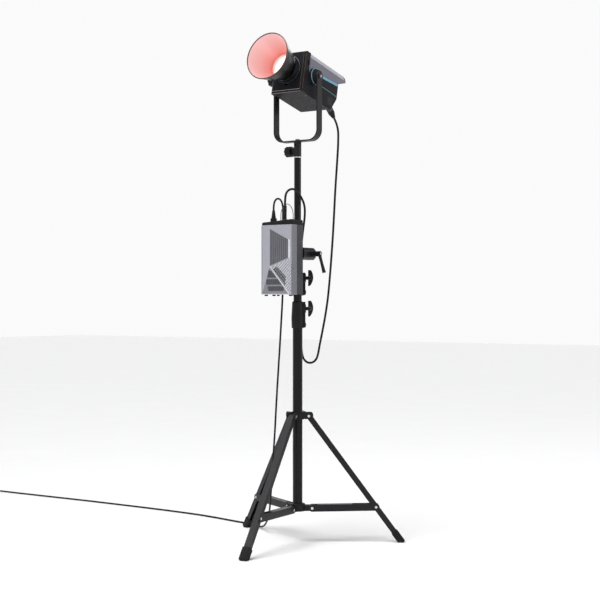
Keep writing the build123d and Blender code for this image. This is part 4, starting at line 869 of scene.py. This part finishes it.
def make_rear_controls():
    """Screen bars, sockets, dial grip and pointer, vents and screws of the head's rear."""
    screen = rear_matrix(0.1692)
    bars = [mm_box(0.5, 2 + 5.2 * n, wide + 0.5, 4.6 + 5.2 * n)
            for n, wide in enumerate((34, 22, 28))]
    place(plates("display_bars", bars, screen, -0.0002, 0.0002, SCREEN_LIGHT, 0), "head")
    border = [mm_box(*corners) for corners in (
        (-10, -6, 46, -5), (-10, 25, 46, 26), (-10, -5, -9, 25), (45, -5, 46, 25))]
    place(plates("display_frame", border, screen, -0.0008, 0.0006, DARK_STEEL, 0.0002))
    panel = rear_matrix(PANEL_BACK)
    rims = [mm_box(x - 1, -18, x + 10, -11.5) for x in (2, 16, 30)]
    place(plates("socket_rims", rims, panel, -0.0005, 0.0005, DARK_STEEL, 0.0002), "head")
    mouths = [mm_box(x, -17, x + 9, -12.5) for x in (2, 16, 30)]
    place(plates("socket_mouths", mouths, panel, 0.0, 0.0007, SLOT_DARK, 0.0001))
    vents = [mm_box(-52, y, 52, y + 1.7) for y in (36.5, 40.5, 44.5, 48.5)]
    place(plates("rear_vents", vents, rear_matrix(BODY_BACK), -0.0005, 0.0005, SLOT_DARK, 0.0002))
    corners = [(head_point(x, PANEL_BACK, up), BACKWARD) for x in (-0.051, 0.051) for up in (-0.0165, 0.0275)]
    make_screws("panel_screws", corners, "head", DARK_STEEL, 0.0019, 0.001)
    dial = matrix_at(head_point(0.034, 0.1683, 0.012), BACKWARD, -RIGHT)
    grip = [(0.0096, 0.0012), (0.0102, 0.0022), (0.0102, 0.0090), (0.0096, 0.0100)]

    def fluted(index, angle, radius):
        return radius + 0.0003 * (round(angle * DIAL_SIDES / (2 * pi)) // 2 % 2)

    place(lathe("dial_grip", grip, dial, MOULDED, DIAL_SIDES, fluted), "dial")
    pointer = rectangle(-0.0005, 0.0035, 0.0005, 0.0085)
    place(plates("dial_pointer", [pointer], dial, 0.0107, 0.0112, BRIGHT_LINE, 0.0001), "dial")
    for name, x, colour in (("menu_button", 0.014, TEAL_LINE), ("power_button", 0.034, BRIGHT_LINE)):
        face = matrix_at(head_point(x, 0.171, -0.012), BACKWARD, -RIGHT)
        rim = rectangle(0.0030, -0.0004, 0.0036, 0.0002)
        place(lathe(f"{name}_ring", rim, face, colour, 40), name)


def make_underside():
    """Slots and screws of the head's flat bottom and slanted lower rear."""
    below = matrix_at(head_point(0, 0, BODY_UNDER), -UPWARD, RIGHT)
    rows = [mm_box(-38, -b, 38, -b + 1.8) for b in range(92, 124, 6)]
    place(plates("bottom_slots", rows, below, -0.0004, 0.0004, SLOT_DARK, 0.0002))
    spots = [(head_point(x, back, BODY_UNDER), -UPWARD) for x in (-0.054, 0.054) for back in (-0.012, 0.126)]
    make_screws("bottom_screws", spots, "head", DARK_STEEL, 0.0026, 0.0011)
    slant = matrix_at(head_point(0, 0.1525, -0.0475), PLUG_AXIS, RIGHT)
    fins = [mm_box(x - 16, y, x + 16, y + 1.6) for x in (-38, 38) for y in range(-18, 20, 5)]
    place(plates("slanted_vents", fins, slant, -0.0005, 0.0005, SLOT_DARK, 0.0002))


def make_light_well():
    """Sleeve behind the reflector's neck with painted glow, and the mount's lugs, ribs and band."""
    sleeve = mm_box(45.4, 53.5, 46.9, 83.2)
    place(lathe("light_well", sleeve, LIGHT_AXIS, WELL_PAINTED_GLOW, 96), "head")
    floor_ring = millimetres([(33.5, 41.5), (46.0, 41.5), (46.0, 53.5), (44.8, 53.5), (33.5, 43.0)])
    place(lathe("light_well_floor", floor_ring, LIGHT_AXIS, WELL_PAINTED_GLOW, 96), "head")
    edge = [(0.0522, angle) for angle in (-9, -4.5, 0, 4.5, 9)]
    edge += [(0.0480, angle) for _, angle in edge[::-1]]
    lugs = [[circle_point(radius, turn + angle) for radius, angle in edge] for turn in (30, 150, 270)]
    place(plates("mount_lugs", lugs, LIGHT_AXIS, 0.0925, 0.0945, DARK_STEEL, 0.0003), "head")
    ribs = [lathe(f"ring_rib_{x}", mm_box(49.6, x, 50.35, x + 1.6), LIGHT_AXIS, RING_BLACK, 96)
            for x in (73, 77, 81, 85)]
    place(join("mount_ring_ribs", ribs), "head")
    band = millimetres([(49.8, 65.5), (52.6, 66.0), (53.2, 67.4), (52.6, 68.8), (49.8, 69.4)])
    place(lathe("mount_ring_band", band, LIGHT_AXIS, BAND_BLUE, 96), "head")


make_side_trim()
make_bezel_trim()
make_rear_controls()
make_underside()
make_light_well()
make_screws("pivot_bolt_centre", [(Vector((0.101, 0, TILT_Z)), (1, 0, 0))], "yoke", STEEL, 0.0042, 0.0012)


# ---- Stand, clamp and cord fittings: rivets, screws, ribs and grips ----
LEG_AZIMUTHS = (35, 155, 275)
FORK_R, FORK_Z, FORK_HALF = 0.282, 0.128, 0.0132


def around(azimuth):
    """Outward and sideways directions at an azimuth in degrees."""
    angle = radians(azimuth)
    return Vector((cos(angle), sin(angle), 0)), Vector((-sin(angle), cos(angle), 0))


def make_fork_rivets():
    """Rivets where each spreader arm's fork is pinned to its leg, and washers under them."""
    for number, azimuth in enumerate(LEG_AZIMUTHS, start=1):
        outward, sideways = around(azimuth)
        parts = []
        for side in (1, -1):
            spot = outward * FORK_R + sideways * (side * FORK_HALF) + Vector((0, 0, FORK_Z))
            matrix = matrix_at(spot, sideways * side, (0, 0, 1))
            washer = [(NEAR_AXIS, -0.0008), (0.0058, -0.0008), (0.0058, 0.0004), (0.0052, 0.0007),
                      (NEAR_AXIS, 0.0007)]
            parts.append(lathe(f"washer_{number}_{side}", washer, matrix, DARK_STEEL, 32))
            parts.append(lathe(f"rivet_{number}_{side}", [(r, z + 0.0006) for r, z in dome(0.0042, 0.0016)],
                               matrix, STEEL, 28))
        place(join(f"fork_rivets_{number}", parts), f"spreader_arm_{number}")


def ribbed(name, start, direction, length, radius, count, depth, body, material=None):
    """A sleeve of moulded rings round a cord's strain relief or a grip."""
    matrix = facing(start, direction)
    pitch = length / count
    parts = []
    for index in range(count):
        low, size = index * pitch, radius(index / max(1, count - 1)) if callable(radius) else radius
        ring = [(size - depth, low), (size, low + pitch * 0.18), (size, low + pitch * 0.52),
                (size - depth, low + pitch * 0.7)]
        parts.append(lathe(f"{name}_{index}", ring, matrix, material or MOULDED, 40))
    return place(join(name, parts), body)


def make_fittings():
    """Ribs on the plugs' strain reliefs, and a locking ring on each plug of the head cable."""
    up = (0, 0, 1)
    ribbed("mains_relief_ribs", (-0.039, -0.095, 1.1645), up, 0.026, lambda t: 0.0086 - 0.0030 * t, 6, 0.0011,
           "top_section")
    ribbed("unit_plug_ring", (0.010, -0.095, 1.1535), up, 0.0045, 0.0096, 3, 0.0009, "top_section",
           DARK_STEEL)
    ribbed("unit_plug_ribs", (0.010, -0.095, 1.184), up, 0.022, 0.0065, 6, 0.0008, "top_section")
    ribbed("head_plug_ring", PLUG_BASE + PLUG_AXIS * 0.004, PLUG_AXIS, 0.010, 0.0125, 4, 0.0008, "head",
           DARK_STEEL)
    ribbed("head_plug_ribs", PLUG_BASE + PLUG_AXIS * 0.034, PLUG_AXIS, 0.014, lambda t: 0.0102 - 0.0028 * t,
           4, 0.0010, "head")


CLAMP_Z = 1.0375
CLAMP_FACES = (("clamp_screws", "rear", 0.014, (0, 1, 0)),
               ("clamp_front_screws", "front", -0.018, (0, -1, 0)))


def make_clamp_trim():
    """Crossed webs, socket screws and the lever screw of the mast clamp."""
    for screws, _, y, normal in CLAMP_FACES:
        spots = [(Vector((x, y, CLAMP_Z + z)), normal) for x in (0.042, 0.060) for z in (-0.012, 0.012)]
        make_screws(screws, spots, "top_section", STEEL, 0.0032, 0.0014)
    for _, label, y, normal in reversed(CLAMP_FACES):
        matrix = matrix_at((0.0505, y, CLAMP_Z), normal, (1, 0, 0))
        web = [[(-0.013, low), (-0.0105, low), (0.0145, -low), (0.012, -low)] for low in (-0.016, 0.016)]
        place(plates(f"clamp_{label}_web", web, matrix, -0.0004, 0.0010, DARK_STEEL, 0.0003), "top_section")
    spots = [(Vector((0.1001, 0, CLAMP_Z)), (1, 0, 0))]
    make_screws("lever_screw", spots, "clamp_lever", STEEL, 0.0046, 0.0015)


def make_knob_trim():
    """A dished rim on each face of the tube clamps' knobs, and a bolt on each tube clamp."""
    outward, sideways = around(30)
    dish = [(0.0052, -0.0004), (0.0066, -0.0004), (0.0066, 0.0005), (0.0060, 0.0008), (0.0052, 0.0004)]
    for name, z in (("lower_clamp_knob", 0.842), ("upper_clamp_knob", 0.952)):
        for side, letter in ((1, "a"), (-1, "b")):
            spot = outward * 0.0445 + sideways * (side * 0.0045) + Vector((0, 0, z))
            matrix = matrix_at(spot, sideways * side, (0, 0, 1))
            place(lathe(f"{name}_rim_{letter}", dish, matrix, DARK_STEEL, 40), name)
    for name, z, body in (("lower", 0.784, "stand_base"), ("upper", 0.901, "mid_section")):
        spot = outward * 0.0295 + Vector((0, 0, z))
        make_screws(f"{name}_clamp_bolts", [(spot, outward)], body, DARK_STEEL, 0.0040, 0.0016)


make_fork_rivets()
make_fittings()
make_clamp_trim()
make_knob_trim()


# ---- Floor, lights and view transform ----
def make_floor():
    """Large pale sheet under the stand."""
    bpy.ops.mesh.primitive_plane_add(size=40, location=(0, 0, 0))
    floor = bpy.context.object
    floor.name = "floor"
    material, tree, shader = new_material("floor")
    tone = ramp(tree, noise(tree, coordinates(tree), 3.0), [(0.3, (0.94, 0.94, 0.945)), (0.7, 0.96)])
    tree.links.new(tone, shader.inputs["Base Color"])
    shader.inputs["Roughness"].default_value = 0.7
    floor.data.materials.append(material)
    return floor


def area_light(name, location, size, power):
    """Soft box aimed at the middle of the mast."""
    data = bpy.data.lights.new(name, "AREA")
    data.shape = "RECTANGLE"
    data.size, data.size_y = size
    data.energy = power
    light = new_object(name, data)
    light.location = location
    light.rotation_euler = (LIT_POINT - Vector(location)).to_track_quat("-Z", "Y").to_euler()


def make_lights():
    """Broad key from the front left, soft top and edge lights, and a sky bright near the horizon."""
    world = bpy.data.worlds.new("studio")
    bpy.context.scene.world = world
    world.use_nodes = True
    tree = world.node_tree
    split = add(tree, "SeparateXYZ", add(tree, "TexCoord").outputs["Generated"])
    height = span(tree, split.outputs["Z"], SKY_EDGE, SKY_DIM_FROM)
    sky = ramp(tree, height, [(0.0, SKY_BRIGHT), (1.0, SKY_DIM)])
    feed(tree, tree.nodes["Background"].inputs["Color"], sky)
    sun = bpy.data.lights.new("key", "SUN")
    sun.energy, sun.angle = KEY_POWER, KEY_ANGLE
    key = new_object("key", sun)
    key.rotation_euler = Vector(KEY_FROM).to_track_quat("Z", "Y").to_euler()
    area_light("top", (0.3, -0.9, 4.4), (1.6, 1.6), 35)
    area_light("edge", (3.4, 1.2, 2.4), (0.5, 2.8), 30)


SKY_EDGE, SKY_DIM_FROM, SKY_BRIGHT, SKY_DIM = 0.30, 0.55, 0.96, 0.10
KEY_POWER, KEY_ANGLE, KEY_FROM = 2.7, radians(40), (-0.25, -1.0, 1.5)
LIT_POINT = Vector((0, 0, 1.2))
make_floor()
make_lights()
bpy.context.scene.view_settings.view_transform = "Standard"
